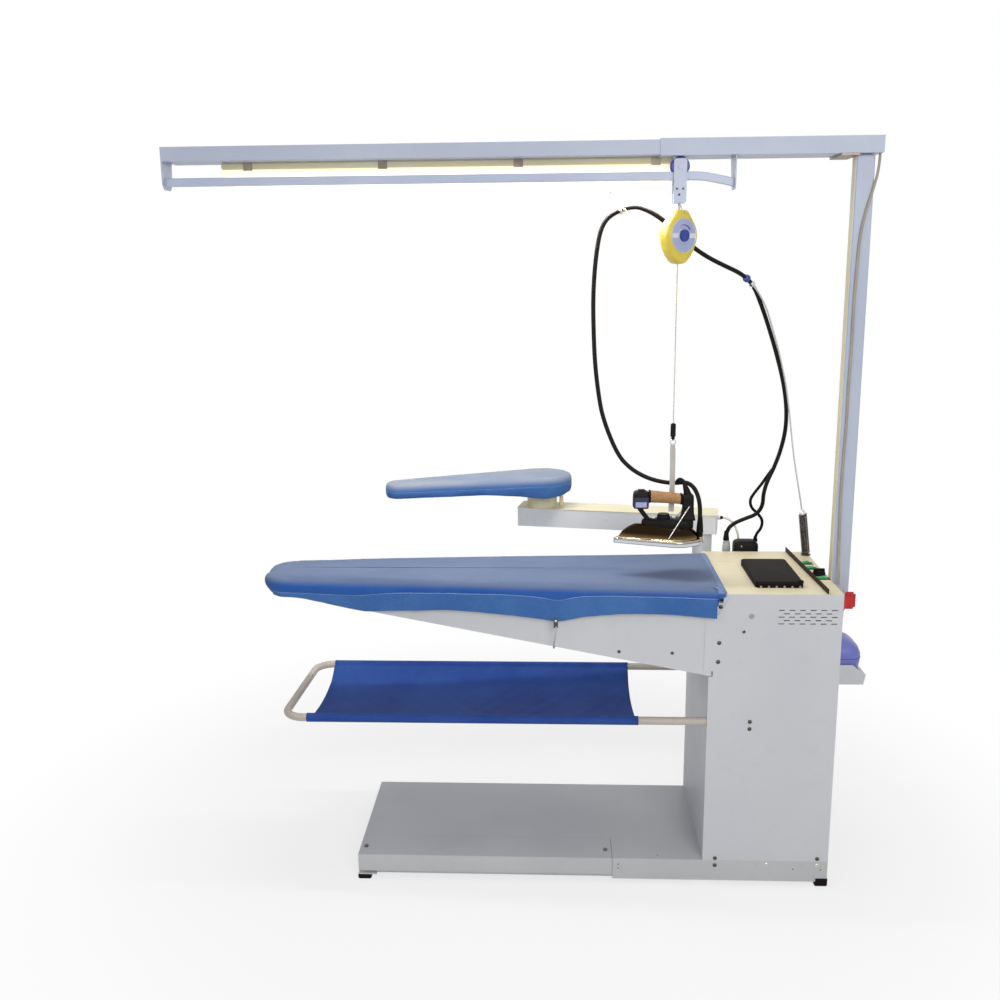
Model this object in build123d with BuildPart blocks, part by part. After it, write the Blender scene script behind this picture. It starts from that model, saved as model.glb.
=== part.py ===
"""Free-standing suction ironing unit with a swinging sleeve board, an overhead rail and a hung iron.

Millimetres, +Z up.  X runs along the boards, from the nose to the cabinet, and Y runs to the back.
Places are measured from the base: x from its left end, y from its front, z from the floor.
The origin is on the floor under the middle of the whole unit.
"""
import os
from math import asin, atan2, cos, hypot, pi, radians, sin, tan

from build123d import *

os.makedirs("parts", exist_ok=True)

# ---------------------------------------------------------------- driving dimensions
sheet = 2.0                  # folded panels of base, cabinet and arm
tube_wall = 2.5              # gantry tubes
slip = 0.3                   # gap between loose or soft neighbours
running = 0.05               # radial gap of a pin in its bore

# base and pedal
base_length = 1330.0
base_depth = 441.0
base_top = 77.0
foot_height = 14.0
foot_size = 46.0
foot_inset = 3.0
foot_plate = 4.0
pedal_length = 726.0
pedal_depth = 109.0
pedal_sheet = 3.0
pedal_gap = 1.0
pedal_recess = 17.0          # how far the base is lowered under the pedal
pedal_setback = 12.0         # how far the base stands back behind the pedal's skirts
pedal_skirt_low = 26.0
pedal_rod_diameter = 8.0
pedal_rod_back = 9.0         # hinge rod, from the pedal's rear edge
pedal_rod_drop = 10.0        # hinge rod, below the pedal's top
pedal_screw_inset = 17.0
pedal_screw_back = 45.0

# cabinet
cabinet_left = 980.0
cabinet_top_height = 860.0
vent_slot_length = 16.0
vent_slot_width = 2.6
vent_pitch_x = 28.0
vent_pitch_z = 9.5
vent_rows = 5
vent_right_margin = 14.0
vent_top_drop = 44.0
hatch_width = 113.0
hatch_depth = 91.0
hatch_left_margin = 12.0
hatch_rear_margin = 27.0
seam = 0.8

# ironing board
board_nose = -262.0
board_end = 1012.0
board_mid = 171.0            # centre line, from the base's front
board_half_width = 193.0
nose_half_width = 100.0
nose_radius = 70.0
end_radius = 30.0
board_height = 878.0
board_seat = 838.0           # top of the suction trough
grid_thickness = 3.0
grid_inset = 12.0
pad_inset = 5.5
cover_skin = 4.5
trough_inset = 22.0
trough_nose_depth = 8.0
trough_end_depth = 211.0
duct_diameter = 96.0
duct_drop = 103.0            # duct centre below the trough's top
heater_diameter = 9.0

# catch-cloth tray
tray_tube = 22.0
tray_height = 490.0
tray_left = -200.0
tray_left_rear = -184.0
tray_front_y = 15.0
tray_rear_y = 425.0
tray_corner = 55.0
tray_end = 1110.0
cloth_left = -130.0
cloth_right = 792.0
cloth_thickness = 1.6
cloth_sag = 24.0

# gantry and lamp
column_width = 46.0
column_depth = 88.0
column_front = 124.0
column_foot = 740.0
gantry_height = 2034.0
beam_height = 42.0
beam_depth = 120.0
beam_front = 100.0
beam_left = 829.0
beam_overhang = 14.0
extension_left = -460.0
extension_slip = 0.5
extension_overlap = 80.0
rail_diameter = 21.0
rail_drop = 90.0             # rail axis, below the gantry's top
rail_y = 135.0
rail_bend_x = 906.0
rail_joggle = 20.0
rail_joggle_length = 60.0
rail_right = 1021.0
end_plate = 3.0
lamp_left = -334.0
lamp_right = 868.0
lamp_y = 192.0
lamp_drop = 45.0             # lamp body's top, below the gantry's top
lamp_body_height = 30.0
lamp_flare = 14.0
lamp_body_width = 54.0
lamp_width = 62.0
diffuser_height = 36.0
strap_width = 26.0
strap_sheet = 1.5

# trolley, balancer and cable
trolley_x = 883.0
wheel_radius = 21.0
wheel_root = 13.0
wheel_width = 26.0
wheel_axle = 8.0
plate_width = 33.0
plate_sheet = 3.0
plate_gap = 28.0
plate_drop = 48.0            # trolley plates' top, below the gantry's top
plate_height = 110.0
balancer_yaw = 38.0
balancer_width = 100.0
balancer_drop = 14.0         # below the trolley plates
balancer_height = 140.0
balancer_thickness = 38.0
balancer_label = 92.0
balancer_knob_diameter = 30.0
cable_diameter = 2.6
clip_top = 1301.0
clip_bottom = 1254.0
strap_bottom = 1056.0

# iron
iron_tip = 724.0
iron_heel = 971.0
iron_y = 114.0
iron_half_width = 62.0
iron_sole_bottom = 973.0
sole_thickness = 10.0
iron_cover_top = 1028.0
iron_base_top = 1040.0
handle_height = 1100.0
handle_left = 819.0
handle_right = 908.0

# sleeve board, its arm and its post
post_x = 1030.0
post_y = 540.0
post_diameter = 60.0
spindle_diameter = 36.0
post_foot = 640.0
arm_angle = 10.5
arm_bottom = 903.0
arm_height = 60.0
arm_width = 104.0
arm_back = 45.0
arm_reach = 585.0
swivel_reach = 514.0
collar_diameter = 96.0
collar_bore = 80.0
swivel_bore = 70.0
sleeve_angle = 18.5
sleeve_wide_radius = 95.0
sleeve_tip_radius = 45.0
sleeve_reach = 465.0         # swivel axis to the centre of the tip's arc
sleeve_seat = 1022.0
sleeve_height = 1070.0
sleeve_tray_depth = 28.0
stop_rod_diameter = 13.0
stop_rod_radius = 63.0
stop_half_angle = 40.0

# controls, tank and hoses
knob_diameter = 34.0
tank_height = 172.0
hose_diameter = 12.0
power_lead_diameter = 9.0
arm_cable_diameter = 7.0
lamp_cable_diameter = 7.0
support_wire = 4.0
support_coil = 26.0
support_rod_diameter = 5.0

# ---------------------------------------------------------------- places worked out from them
tank_shelf_width = 142.0
unit_left = extension_left - end_plate
unit_right = base_length + tank_shelf_width
unit_front = board_mid - board_half_width
arm_dir = (-cos(radians(arm_angle)), sin(radians(arm_angle)))
swivel_x = post_x + swivel_reach * arm_dir[0]
swivel_y = post_y + swivel_reach * arm_dir[1]
unit_back = swivel_y + sleeve_wide_radius
bench_x = -(unit_left + unit_right) / 2
bench_y = -(unit_front + unit_back) / 2
beam_bottom = gantry_height - beam_height
rail_height = gantry_height - rail_drop
lamp_top = gantry_height - lamp_drop
plate_top = gantry_height - plate_drop
plate_bottom = plate_top - plate_height
balancer_top = plate_bottom - balancer_drop
balancer_bottom = balancer_top - balancer_height
arm_lid_top = arm_bottom + arm_height
wheel_z = rail_height + rail_diameter / 2 + wheel_root + 0.1
extension_bottom = beam_bottom + tube_wall + extension_slip
extension_top = gantry_height - tube_wall - extension_slip
nose_corner = (board_nose + nose_radius, nose_half_width - nose_radius)
end_corner = (board_end - end_radius, board_half_width - end_radius)
board_run = (end_corner[0] - nose_corner[0], end_corner[1] - nose_corner[1])
board_lean = atan2(board_run[1], board_run[0]) - asin((nose_radius - end_radius) / hypot(*board_run))

bench = Plane(origin=(bench_x, bench_y, 0))


def level(z):
    """Plane at height z, in the base's x and y."""
    return Plane(origin=(bench_x, bench_y, z))


def facing_front(y):
    """Upright plane y behind the base's front: its x is the base's x, its y is height, it faces the front."""
    return Plane(origin=(bench_x, bench_y + y, 0), x_dir=(1, 0, 0), z_dir=(0, -1, 0))


def facing_right(x):
    """Upright plane across the unit at x: its x is the base's y, its y is height, it faces the right."""
    return Plane(origin=(bench_x + x, bench_y, 0), x_dir=(0, 1, 0), z_dir=(1, 0, 0))


def block(x, y, z, mode=Mode.ADD):
    """Box between three (low, high) pairs, in the workplane of the block it is called in."""
    with Locations(((x[0] + x[1]) / 2, (y[0] + y[1]) / 2, (z[0] + z[1]) / 2)):
        Box(x[1] - x[0], y[1] - y[0], z[1] - z[0], mode=mode)


def tapered_hull(circles, inset):
    """Face round the hull of (x, y, radius) circles, pulled in by inset."""
    with BuildSketch() as outline:
        for x, y, radius in circles:
            with Locations((x, y)):
                Circle(radius)
        make_hull()
        if inset:
            offset(amount=-inset, kind=Kind.INTERSECTION, mode=Mode.REPLACE)
    return outline.sketch


def board_outline(inset):
    """The ironing board from above: a blunt nose widening to the square end."""
    circles = []
    for side in (-1, 1):
        circles.append((nose_corner[0], board_mid + side * nose_corner[1], nose_radius))
        circles.append((end_corner[0], board_mid + side * end_corner[1], end_radius))
    return tapered_hull(circles, inset)


def half_width_at(x):
    """Half the board's width at x, along its straight sides."""
    return nose_corner[1] + nose_radius / cos(board_lean) + (x - nose_corner[0]) * tan(board_lean)


def sleeve_outline(inset):
    """The sleeve board from above: its wide end turns about the swivel, its tip points away."""
    circles = [(0, 0, sleeve_wide_radius), (sleeve_reach, 0, sleeve_tip_radius)]
    return tapered_hull(circles, inset)


def bend_radii(name, points):
    """One radius a corner: 0.45 of the shorter run, over the tangent of half the turn."""
    radii = []
    for before, corner, after in zip(points, points[1:], points[2:]):
        run_in = Vector(*corner) - Vector(*before)
        run_out = Vector(*after) - Vector(*corner)
        half_turn = radians(run_in.get_angle(run_out)) / 2
        radii.append(0.45 * min(run_in.length, run_out.length) / tan(half_turn))
    print(name, "bend radii", [round(radius) for radius in radii])
    return radii


def on_bench(points):
    """Points of a route, moved from the base's measure to the unit's frame."""
    return [bench.from_local_coords(Vector(*point)) for point in points]


def check_tube(name, tube, section, line):
    """Print a tube's volume beside its section times its length."""
    length = sum(edge.length for edge in line.edges())
    print(f"{name} length {length:.0f} volume {tube.volume:.0f} of {section * length:.0f}")


# ================================================================ base
recess_x = pedal_length + pedal_gap
recess_y = pedal_depth + pedal_gap
recess_floor = base_top - pedal_recess
rod_y = pedal_depth - pedal_rod_back
rod_z = base_top - pedal_rod_drop
bearing_places = (110.0, pedal_length - 120.0)
bearing_width = 16.0
pedal_screws = [(pedal_screw_inset, pedal_screw_back), (pedal_length - pedal_screw_inset, pedal_screw_back)]
foot_mid = foot_inset + foot_size / 2
foot_places = [(x, y) for x in (foot_mid, cabinet_left, base_length - foot_mid)
               for y in (foot_mid, base_depth - foot_mid)]

with BuildPart(bench) as base_tray:
    block((0, base_length), (0, base_depth), (foot_height, base_top))
    block((0, recess_x), (0, recess_y), (recess_floor, base_top), mode=Mode.SUBTRACT)
    block((0, recess_x), (0, pedal_setback), (foot_height, base_top), mode=Mode.SUBTRACT)
    block((0, pedal_setback), (0, recess_y), (foot_height, base_top), mode=Mode.SUBTRACT)
    inner_setback = pedal_setback + sheet
    block((recess_x + sheet, base_length - sheet), (sheet, base_depth - sheet),
          (foot_height, base_top - sheet), mode=Mode.SUBTRACT)
    block((sheet, recess_x + sheet), (recess_y + sheet, base_depth - sheet),
          (foot_height, base_top - sheet), mode=Mode.SUBTRACT)
    block((inner_setback, recess_x + sheet), (inner_setback, recess_y + sheet),
          (foot_height, recess_floor - sheet), mode=Mode.SUBTRACT)
    for x, y in foot_places:
        block((x - foot_mid, x + foot_mid), (y - foot_mid, y + foot_mid),
              (foot_height, foot_height + foot_plate))
    for x in bearing_places:
        block((x, x + bearing_width), (rod_y - 8, rod_y + 8), (recess_floor, rod_z + 5))
        with BuildSketch(facing_right(x)):
            with Locations((rod_y, rod_z)):
                Circle(pedal_rod_diameter / 2 + running)
        extrude(amount=bearing_width, mode=Mode.SUBTRACT)
base_tray.part.label = "base_tray"
export_step(base_tray.part, "parts/base_tray.step")

with BuildPart(bench) as rubber_feet:
    for x, y in foot_places:
        block((x - foot_size / 2, x + foot_size / 2), (y - foot_size / 2, y + foot_size / 2), (0, foot_height))
    fillet(rubber_feet.edges().filter_by(Axis.Z), radius=6)
rubber_feet.part.label = "rubber_feet"
export_step(rubber_feet.part, "parts/rubber_feet.step")

with BuildPart(bench) as pedal_bar:
    block((0, pedal_length), (0, pedal_depth), (base_top - pedal_sheet, base_top))
    block((0, pedal_length), (0, pedal_sheet), (pedal_skirt_low, base_top))
    block((0, pedal_sheet), (0, pedal_depth - 2), (pedal_skirt_low + 20, base_top))
    for x in bearing_places:
        block((x - 20, x - 8), (rod_y - 6, rod_y + 6), (rod_z - 5, base_top - pedal_sheet))
        with BuildSketch(facing_right(x - 20)):
            with Locations((rod_y, rod_z)):
                Circle(pedal_rod_diameter / 2)
        extrude(amount=bearing_width + 26)
    for x, y in pedal_screws:
        with Locations((x, y, base_top)):
            Hole(radius=4.5, depth=pedal_sheet)
pedal_bar.part.label = "pedal_bar"
export_step(pedal_bar.part, "parts/pedal_bar.step")

# ================================================================ cabinet
trough_end_low = board_seat - trough_end_depth
trough_slope = (trough_end_depth - trough_nose_depth) / (board_end - trough_inset - board_nose - trough_inset)


def trough_low(x):
    """Height of the trough's sloping floor at x."""
    return trough_end_low + trough_slope * (board_end - trough_inset - x)


cheek_left = board_end + seam                        # the top starts behind the board's square end
wall_left = board_end - trough_inset + seam          # the side wall stands behind the trough's end wall
shelf_low = trough_end_low - seam                    # the trough's end rests here
notch_top = board_seat - sheet
duct_z = board_seat - duct_drop
tray_bolts = [(cabinet_left + 116, tray_height + 6), (cabinet_left + 116, tray_height - 15)]
base_bolts = [(cabinet_left + 35, 83.0), (cabinet_left + 35, 61.0), (cabinet_left + 179, 67.0),
              (base_length - 30, 85.0), (base_length - 30, 66.0)]
cheek_screws = [(board_end + 58, 755.0), (board_end + 78, 800.0), (board_end - 7, 723.0),
                (board_end - 8, 669.0), (board_end - 6, 825.0)]
trough_screws = [(738.0, 689.0), (881.0, 690.0)]

with BuildPart(bench) as cabinet_front:
    with BuildSketch(facing_front(0)):
        with BuildLine():
            Polyline((cabinet_left, base_top), (base_length, base_top), (base_length, cabinet_top_height),
                     (cheek_left, cabinet_top_height), (cheek_left, notch_top), (wall_left, notch_top),
                     (wall_left, shelf_low), (cabinet_left, shelf_low), close=True)
        make_face()
        vent_high = cabinet_top_height - vent_top_drop
        for row in range(vent_rows):
            columns = 6 - row % 2
            vent_mid = base_length - vent_right_margin - 5 * vent_pitch_x / 2 - vent_slot_length / 2
            with Locations((vent_mid, vent_high - row * vent_pitch_z)):
                with GridLocations(vent_pitch_x, 1, columns, 1):
                    SlotOverall(vent_slot_length, vent_slot_width, mode=Mode.SUBTRACT)
    extrude(amount=-sheet)
cabinet_front.part.label = "cabinet_front"
export_step(cabinet_front.part, "parts/cabinet_front.step")

with BuildPart(bench) as cabinet_wrap:
    wrap_top = cabinet_top_height - sheet
    steps = [(cabinet_left, shelf_low), (wall_left, notch_top), (cheek_left, wrap_top + sheet)]
    for left, top in steps:
        block((left, base_length), (sheet, base_depth), (base_top, min(top, wrap_top)))
    for left, top in steps:
        block((left + sheet, base_length - sheet), (sheet, base_depth - sheet), (base_top, top - sheet),
              mode=Mode.SUBTRACT)
    with BuildSketch(facing_right(wall_left)):
        with Locations((board_mid, duct_z)):
            Circle(duct_diameter / 2 + slip)
    extrude(amount=sheet, mode=Mode.SUBTRACT)
    for y in (tray_front_y, tray_rear_y):
        with BuildSketch(facing_right(cabinet_left)):
            with Locations((y, tray_height)):
                Circle(tray_tube / 2 + slip)
        extrude(amount=sheet, mode=Mode.SUBTRACT)
cabinet_wrap.part.label = "cabinet_wrap"
export_step(cabinet_wrap.part, "parts/cabinet_wrap.step")

# controls: a row along the right edge of the top
rocker_length = 30.0
rocker_width = 16.0
rocker_axis_drop = 6.0
rocker_tilt = 7.0
rocker_places = [(base_length - 30, 305.0), (base_length - 28, 252.0), (base_length - 21, 150.0)]
knob_place = (base_length - 21, 186.0)
knob_pin = 6.0
hatch_x = (cheek_left + hatch_left_margin, cheek_left + hatch_left_margin + hatch_width)
hatch_y = (base_depth - hatch_rear_margin - hatch_depth, base_depth - hatch_rear_margin)
support_foot = (base_length - 8, 402.0)

with BuildPart(bench) as cabinet_top:
    top_z = (cabinet_top_height - sheet, cabinet_top_height)
    block((cheek_left, base_length), (sheet, base_depth), top_z)
    block(hatch_x, hatch_y, top_z, mode=Mode.SUBTRACT)
    block((hatch_x[0] + seam, hatch_x[1] - seam), (hatch_y[0] + seam, hatch_y[1] - seam), top_z)
    for x, y in rocker_places:
        block((x - rocker_length / 2 - 0.5, x + rocker_length / 2 + 0.5),
              (y - rocker_width / 2 - 0.5, y + rocker_width / 2 + 0.5), top_z, mode=Mode.SUBTRACT)
    with Locations((*knob_place, cabinet_top_height)):
        Hole(radius=knob_pin / 2 + running, depth=sheet)
cabinet_top.part.label = "cabinet_top"
export_step(cabinet_top.part, "parts/cabinet_top.step")


def rocker_face(x):
    """Side view of a rocker: a barrel about its pivot, cut to a tilted top and a flat bottom."""
    with BuildSketch() as face:
        with Locations((x, cabinet_top_height - rocker_axis_drop)):
            Circle(rocker_length / 2)
            with Locations((0, 1.5)):
                Rectangle(rocker_length + 2, 21, rotation=rocker_tilt, mode=Mode.INTERSECT)
    return face.sketch


rocker_names = ["rocker_light", "rocker_suction", "rocker_boiler"]
for rocker_name, (x, y) in zip(rocker_names, rocker_places):
    with BuildPart() as rocker:
        with BuildSketch(facing_front(y)):
            add(rocker_face(x))
        extrude(amount=rocker_width / 2, both=True)
    rocker.part.label = rocker_name
    export_step(rocker.part, f"parts/{rocker_name}.step")

with BuildPart(bench) as thermostat_knob:
    with BuildSketch(level(cabinet_top_height + slip)):
        with Locations(knob_place):
            Circle(knob_diameter / 2)
    extrude(amount=14, taper=6)
    with Locations((*knob_place, cabinet_top_height + slip + 14 + 2.5)):
        Box(knob_diameter * 0.85, 8, 5)
    with Locations((*knob_place, cabinet_top_height + slip)):
        Cylinder(knob_pin / 2, 16, align=(Align.CENTER, Align.CENTER, Align.MAX))
thermostat_knob.part.label = "thermostat_knob"
export_step(thermostat_knob.part, "parts/thermostat_knob.step")

# iron rest on the cabinet top, and the low strip that keeps the iron off the controls
rest_x = (base_length - 218, base_length - 86)
rest_y = (28.0, 342.0)
rest_plate = 6.0
rest_pad = 13.0
rest_rib_pitch = 18.0
strip_angle = 4.7

with BuildPart(bench) as iron_rest:
    with Locations((sum(rest_x) / 2, sum(rest_y) / 2, cabinet_top_height)):
        Box(rest_x[1] - rest_x[0], rest_y[1] - rest_y[0], rest_plate,
            align=(Align.CENTER, Align.CENTER, Align.MIN))
        with GridLocations(rest_rib_pitch, 1, 7, 1):
            Box(9, rest_y[1] - rest_y[0] + 2, rest_plate - 2, align=(Align.CENTER, Align.CENTER, Align.MIN),
                mode=Mode.SUBTRACT)
    pad_z = cabinet_top_height + rest_plate
    block((rest_x[0] + 2, rest_x[1] - 2), (rest_y[0] + 8, rest_y[1] - 4), (pad_z, pad_z + rest_pad))
    block((rest_x[1] - 26, rest_x[1] - 2), (rest_y[0] + 8, rest_y[0] + 34), (pad_z, pad_z + rest_pad + 10))
    with Locations((sum(rest_x) / 2, sum(rest_y) / 2, pad_z + rest_pad)):
        with GridLocations(1, rest_rib_pitch, 1, 15):
            Box(rest_x[1] - rest_x[0] - 34, 7, 3, align=(Align.CENTER, Align.CENTER, Align.MAX),
                mode=Mode.SUBTRACT)
    with BuildSketch(level(cabinet_top_height)):
        with Locations((rest_x[1] + 15, base_depth / 2)):
            Rectangle(5, base_depth - 8, rotation=-strip_angle)
    extrude(amount=16)
iron_rest.part.label = "iron_rest"
export_step(iron_rest.part, "parts/iron_rest.step")

# mains isolator on the cabinet's right side
isolator_y = 66.0
isolator_z = 824.0
isolator_depth = 20.0
with BuildPart(bench) as isolator_box:
    with BuildSketch(facing_right(base_length)):
        with Locations((isolator_y, isolator_z)):
            RectangleRounded(84, 70, 10)
    extrude(amount=isolator_depth)
    with BuildSketch(facing_right(base_length)):
        with Locations((isolator_y, isolator_z)):
            Circle(4 + running)
    extrude(amount=isolator_depth, mode=Mode.SUBTRACT)
isolator_box.part.label = "isolator_box"
export_step(isolator_box.part, "parts/isolator_box.step")

knob_back = base_length + isolator_depth + slip
with BuildPart() as isolator_knob:
    with BuildSketch(facing_right(knob_back)):
        with Locations((isolator_y, isolator_z)):
            Circle(30)
    extrude(amount=9, taper=12)
    with BuildSketch(facing_right(knob_back + 8)):
        with Locations((isolator_y, isolator_z)):
            SlotOverall(50, 16, rotation=90)
    extrude(amount=22, taper=6)
    with BuildSketch(facing_right(knob_back)):
        with Locations((isolator_y, isolator_z)):
            Circle(4)
    extrude(amount=-(isolator_depth + slip - 1))
isolator_knob.part.label = "isolator_knob"
export_step(isolator_knob.part, "parts/isolator_knob.step")

# water tank in its holder on the right side
shelf_z = (514.0, 574.0)
shelf_y = (230.0, 386.0)
shelf_x = (base_length, base_length + tank_shelf_width)
with BuildPart(bench) as tank_shelf:
    with BuildSketch(facing_front(shelf_y[0])):
        with BuildLine():
            Polyline((shelf_x[0], shelf_z[0]), (shelf_x[1] - 6, shelf_z[0]), (shelf_x[1], shelf_z[0] + 30),
                     (shelf_x[1] - 40, shelf_z[1]), (shelf_x[0], shelf_z[1]), close=True)
        make_face()
    extrude(amount=-(shelf_y[1] - shelf_y[0]))
    with BuildSketch(facing_front(shelf_y[0] + sheet)):
        with BuildLine():
            Polyline((shelf_x[0] + sheet, shelf_z[0] + sheet), (shelf_x[1] - 6 - sheet, shelf_z[0] + sheet),
                     (shelf_x[1] - sheet, shelf_z[0] + 30), (shelf_x[1] - 40, shelf_z[1] + 2),
                     (shelf_x[0] + sheet, shelf_z[1] + 2), close=True)
        make_face()
    extrude(amount=-(shelf_y[1] - shelf_y[0] - 2 * sheet), mode=Mode.SUBTRACT)
tank_shelf.part.label = "tank_shelf"
export_step(tank_shelf.part, "parts/tank_shelf.step")

tank_x = (shelf_x[0] + sheet + slip, shelf_x[1] - 20)
tank_y = (shelf_y[0] + sheet + slip, shelf_y[1] - sheet - slip)
tank_z = (shelf_z[0] + sheet + slip, shelf_z[0] + sheet + slip + tank_height)
with BuildPart(bench) as water_tank:
    block(tank_x, tank_y, tank_z)
    fillet(water_tank.edges().filter_by(Axis.Z), radius=20)
    fillet(water_tank.faces().sort_by(Axis.Z)[-1].edges(), radius=18)
    with Locations((tank_x[1] - 32, tank_y[0] + 40, tank_z[1])):
        Cylinder(17, 22, align=(Align.CENTER, Align.CENTER, Align.MIN))
        Cylinder(6, 64, align=(Align.CENTER, Align.CENTER, Align.MIN))
water_tank.part.label = "water_tank"
export_step(water_tank.part, "parts/water_tank.step")

# ================================================================ ironing board
hem_drops = [(board_nose - 38, 16), (-150, 16), (-87, 30), (36, 52), (65, 49), (275, 42), (413, 49), (522, 59),
             (568, 71), (630, 52), (737, 38), (844, 36), (949, 41), (board_end - 23, 48), (board_end - 22, -5),
             (board_end + 28, -5)]           # x and how far the hem hangs below the board's seat
hem_line = [(x, board_seat - drop) for x, drop in hem_drops]


def trough_wedge(inset, rise):
    """Solid under the board: its outline pulled in, cut rise above the sloping floor."""
    low = trough_end_low
    with BuildPart() as wedge:
        with BuildSketch(level(low - 20)):
            add(board_outline(inset))
        extrude(amount=board_seat - low + 20)
        floor_x = board_end - trough_inset
        slope = Plane(origin=(bench_x + floor_x, bench_y, low + rise),
                      x_dir=(0, 1, 0), z_dir=(trough_slope, 0, 1))
        split(bisect_by=slope, keep=Keep.TOP)
    return wedge.part


end_wall = board_end - trough_inset
heater_z = board_seat - 26
heater_run = 62.0            # heating rod's two runs, each side of the centre line
heater_ends = (150.0, 930.0)
heater_bend = 40.0
with BuildPart() as board_trough:
    add(trough_wedge(trough_inset, 0))
    add(trough_wedge(trough_inset + sheet, sheet), mode=Mode.SUBTRACT)
    with BuildSketch(facing_right(end_wall - sheet - 1)):
        with Locations((board_mid, duct_z)):
            Circle(duct_diameter / 2 - sheet)
    extrude(amount=sheet + 2, mode=Mode.SUBTRACT)
    with BuildLine() as heater_line:
        FilletPolyline(*on_bench([(x, board_mid + side * heater_run, heater_z)
                                  for x, side in ((heater_ends[1], -1), (heater_ends[0], -1),
                                                  (heater_ends[0], 1), (heater_ends[1], 1))]), radius=heater_bend)
    with BuildSketch(Plane(origin=heater_line.line @ 0, z_dir=heater_line.line % 0)):
        Circle(heater_diameter / 2)
    sweep()
    for x in (260.0, 560.0, 860.0):
        reach = half_width_at(x) - trough_inset - sheet / 2
        with BuildSketch(level(heater_z - heater_diameter / 2 - 4)):
            with Locations((x, board_mid)):
                Rectangle(12, 2 * reach)
        extrude(amount=5)
board_trough.part.label = "board_trough"
export_step(board_trough.part, "parts/board_trough.step")

with BuildPart() as board_grid:
    with BuildSketch(level(board_seat)):
        add(board_outline(grid_inset))
        with Locations(((board_nose + board_end) / 2 + 20, board_mid)):
            with GridLocations(64, 42, 18, 3):
                Circle(7, mode=Mode.SUBTRACT)
    extrude(amount=grid_thickness)
board_grid.part.label = "board_grid"
export_step(board_grid.part, "parts/board_grid.step")

pad_low = board_seat + grid_thickness + slip
pad_high = board_height - cover_skin - slip
with BuildPart() as board_pad:
    with BuildSketch(level(pad_low)):
        add(board_outline(pad_inset))
    extrude(amount=pad_high - pad_low)
    fillet(board_pad.faces().sort_by(Axis.Z)[-1].edges(), radius=6)
board_pad.part.label = "board_pad"
export_step(board_pad.part, "parts/board_pad.step")

with BuildPart() as board_cover:
    hem_low = min(z for _, z in hem_line)
    with BuildSketch(level(hem_low - 5)):
        add(board_outline(0))
    extrude(amount=board_height - hem_low + 5)
    fillet(board_cover.faces().sort_by(Axis.Z)[-1].edges(), radius=9)
    with BuildSketch(level(hem_low - 5)):
        add(board_outline(cover_skin))
    extrude(amount=pad_high + slip - hem_low + 5, mode=Mode.SUBTRACT)
    with BuildSketch(facing_front(-60)):
        with BuildLine():
            Polyline(*hem_line, (hem_line[-1][0], hem_low - 20), (hem_line[0][0], hem_low - 20), close=True)
        make_face()
    extrude(amount=-(2 * board_half_width + 120), mode=Mode.SUBTRACT)
board_cover.part.label = "board_cover"
export_step(board_cover.part, "parts/board_cover.step")

# a sprung clip on each side pulls the hem down to the trough's edge
clip_x = 566.0
clip_hem = 767.0
clip_width = 15.0
with BuildPart(bench) as cover_clips:
    for side in (-1, 1):
        skirt_out = board_mid + side * half_width_at(clip_x)
        skirt_in = skirt_out - side * (cover_skin + 0.6)
        faces = [(skirt_out + side * 2.4, skirt_out + side * 0.8), (skirt_in - side * 0.6, skirt_in - side * 2.2)]
        for pair in faces:
            block((clip_x - clip_width / 2, clip_x + clip_width / 2), (min(pair), max(pair)),
                  (clip_hem - 6, clip_hem + 14))
        span = (faces[0][0], faces[1][1])
        block((clip_x - clip_width / 2, clip_x + clip_width / 2), (min(span), max(span)),
              (clip_hem - 7.5, clip_hem - 5))
        trough_side = board_mid + side * (half_width_at(clip_x) - trough_inset)
        trough_edge = trough_low(clip_x)
        mid_y = skirt_out - side * 3
        hook_line = [(clip_x, mid_y, clip_hem - 6), (clip_x - 2, mid_y - side * 3, trough_edge + 26),
                     (clip_x - 4, trough_side + side * 3, trough_edge - 4),
                     (clip_x - 4, trough_side - side * 6, trough_edge - 3.2)]
        with BuildLine() as hook:
            FilletPolyline(*on_bench(hook_line), radius=2.5)
        with BuildSketch(Plane(origin=hook.line @ 0, z_dir=hook.line % 0)):
            Circle(1.2)
        sweep()
        with Locations((clip_x - 1, mid_y - side * 1.5, (clip_hem + trough_edge + 20) / 2)):
            Cylinder(4, clip_hem - trough_edge - 42)
cover_clips.part.label = "cover_clips"
export_step(cover_clips.part, "parts/cover_clips.step")

# dome screws, plugs and bolts of base, cabinet and trough
with BuildPart(bench) as body_screws:
    for x, z in base_bolts + cheek_screws + tray_bolts:
        with BuildSketch(facing_front(0)):
            with Locations((x, z)):
                Circle(4.5)
        extrude(amount=2.2, taper=25)
    for x, z in trough_screws:
        wall_y = board_mid - half_width_at(x) + trough_inset / cos(board_lean)
        with BuildSketch(Plane(origin=bench.from_local_coords(Vector(x, wall_y, z)),
                               x_dir=(cos(board_lean), -sin(board_lean), 0),
                               z_dir=(-sin(board_lean), -cos(board_lean), 0))):
            Circle(4.5)
        extrude(amount=2.2, taper=25)
    for x, y in pedal_screws:
        with Locations((x, y, recess_floor)):
            Cylinder(2.5, base_top - recess_floor + slip, align=(Align.CENTER, Align.CENTER, Align.MIN))
        with Locations((x, y, base_top + slip)):
            Cylinder(6, 2.5, align=(Align.CENTER, Align.CENTER, Align.MIN))
body_screws.part.label = "body_screws"
export_step(body_screws.part, "parts/body_screws.step")

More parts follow.
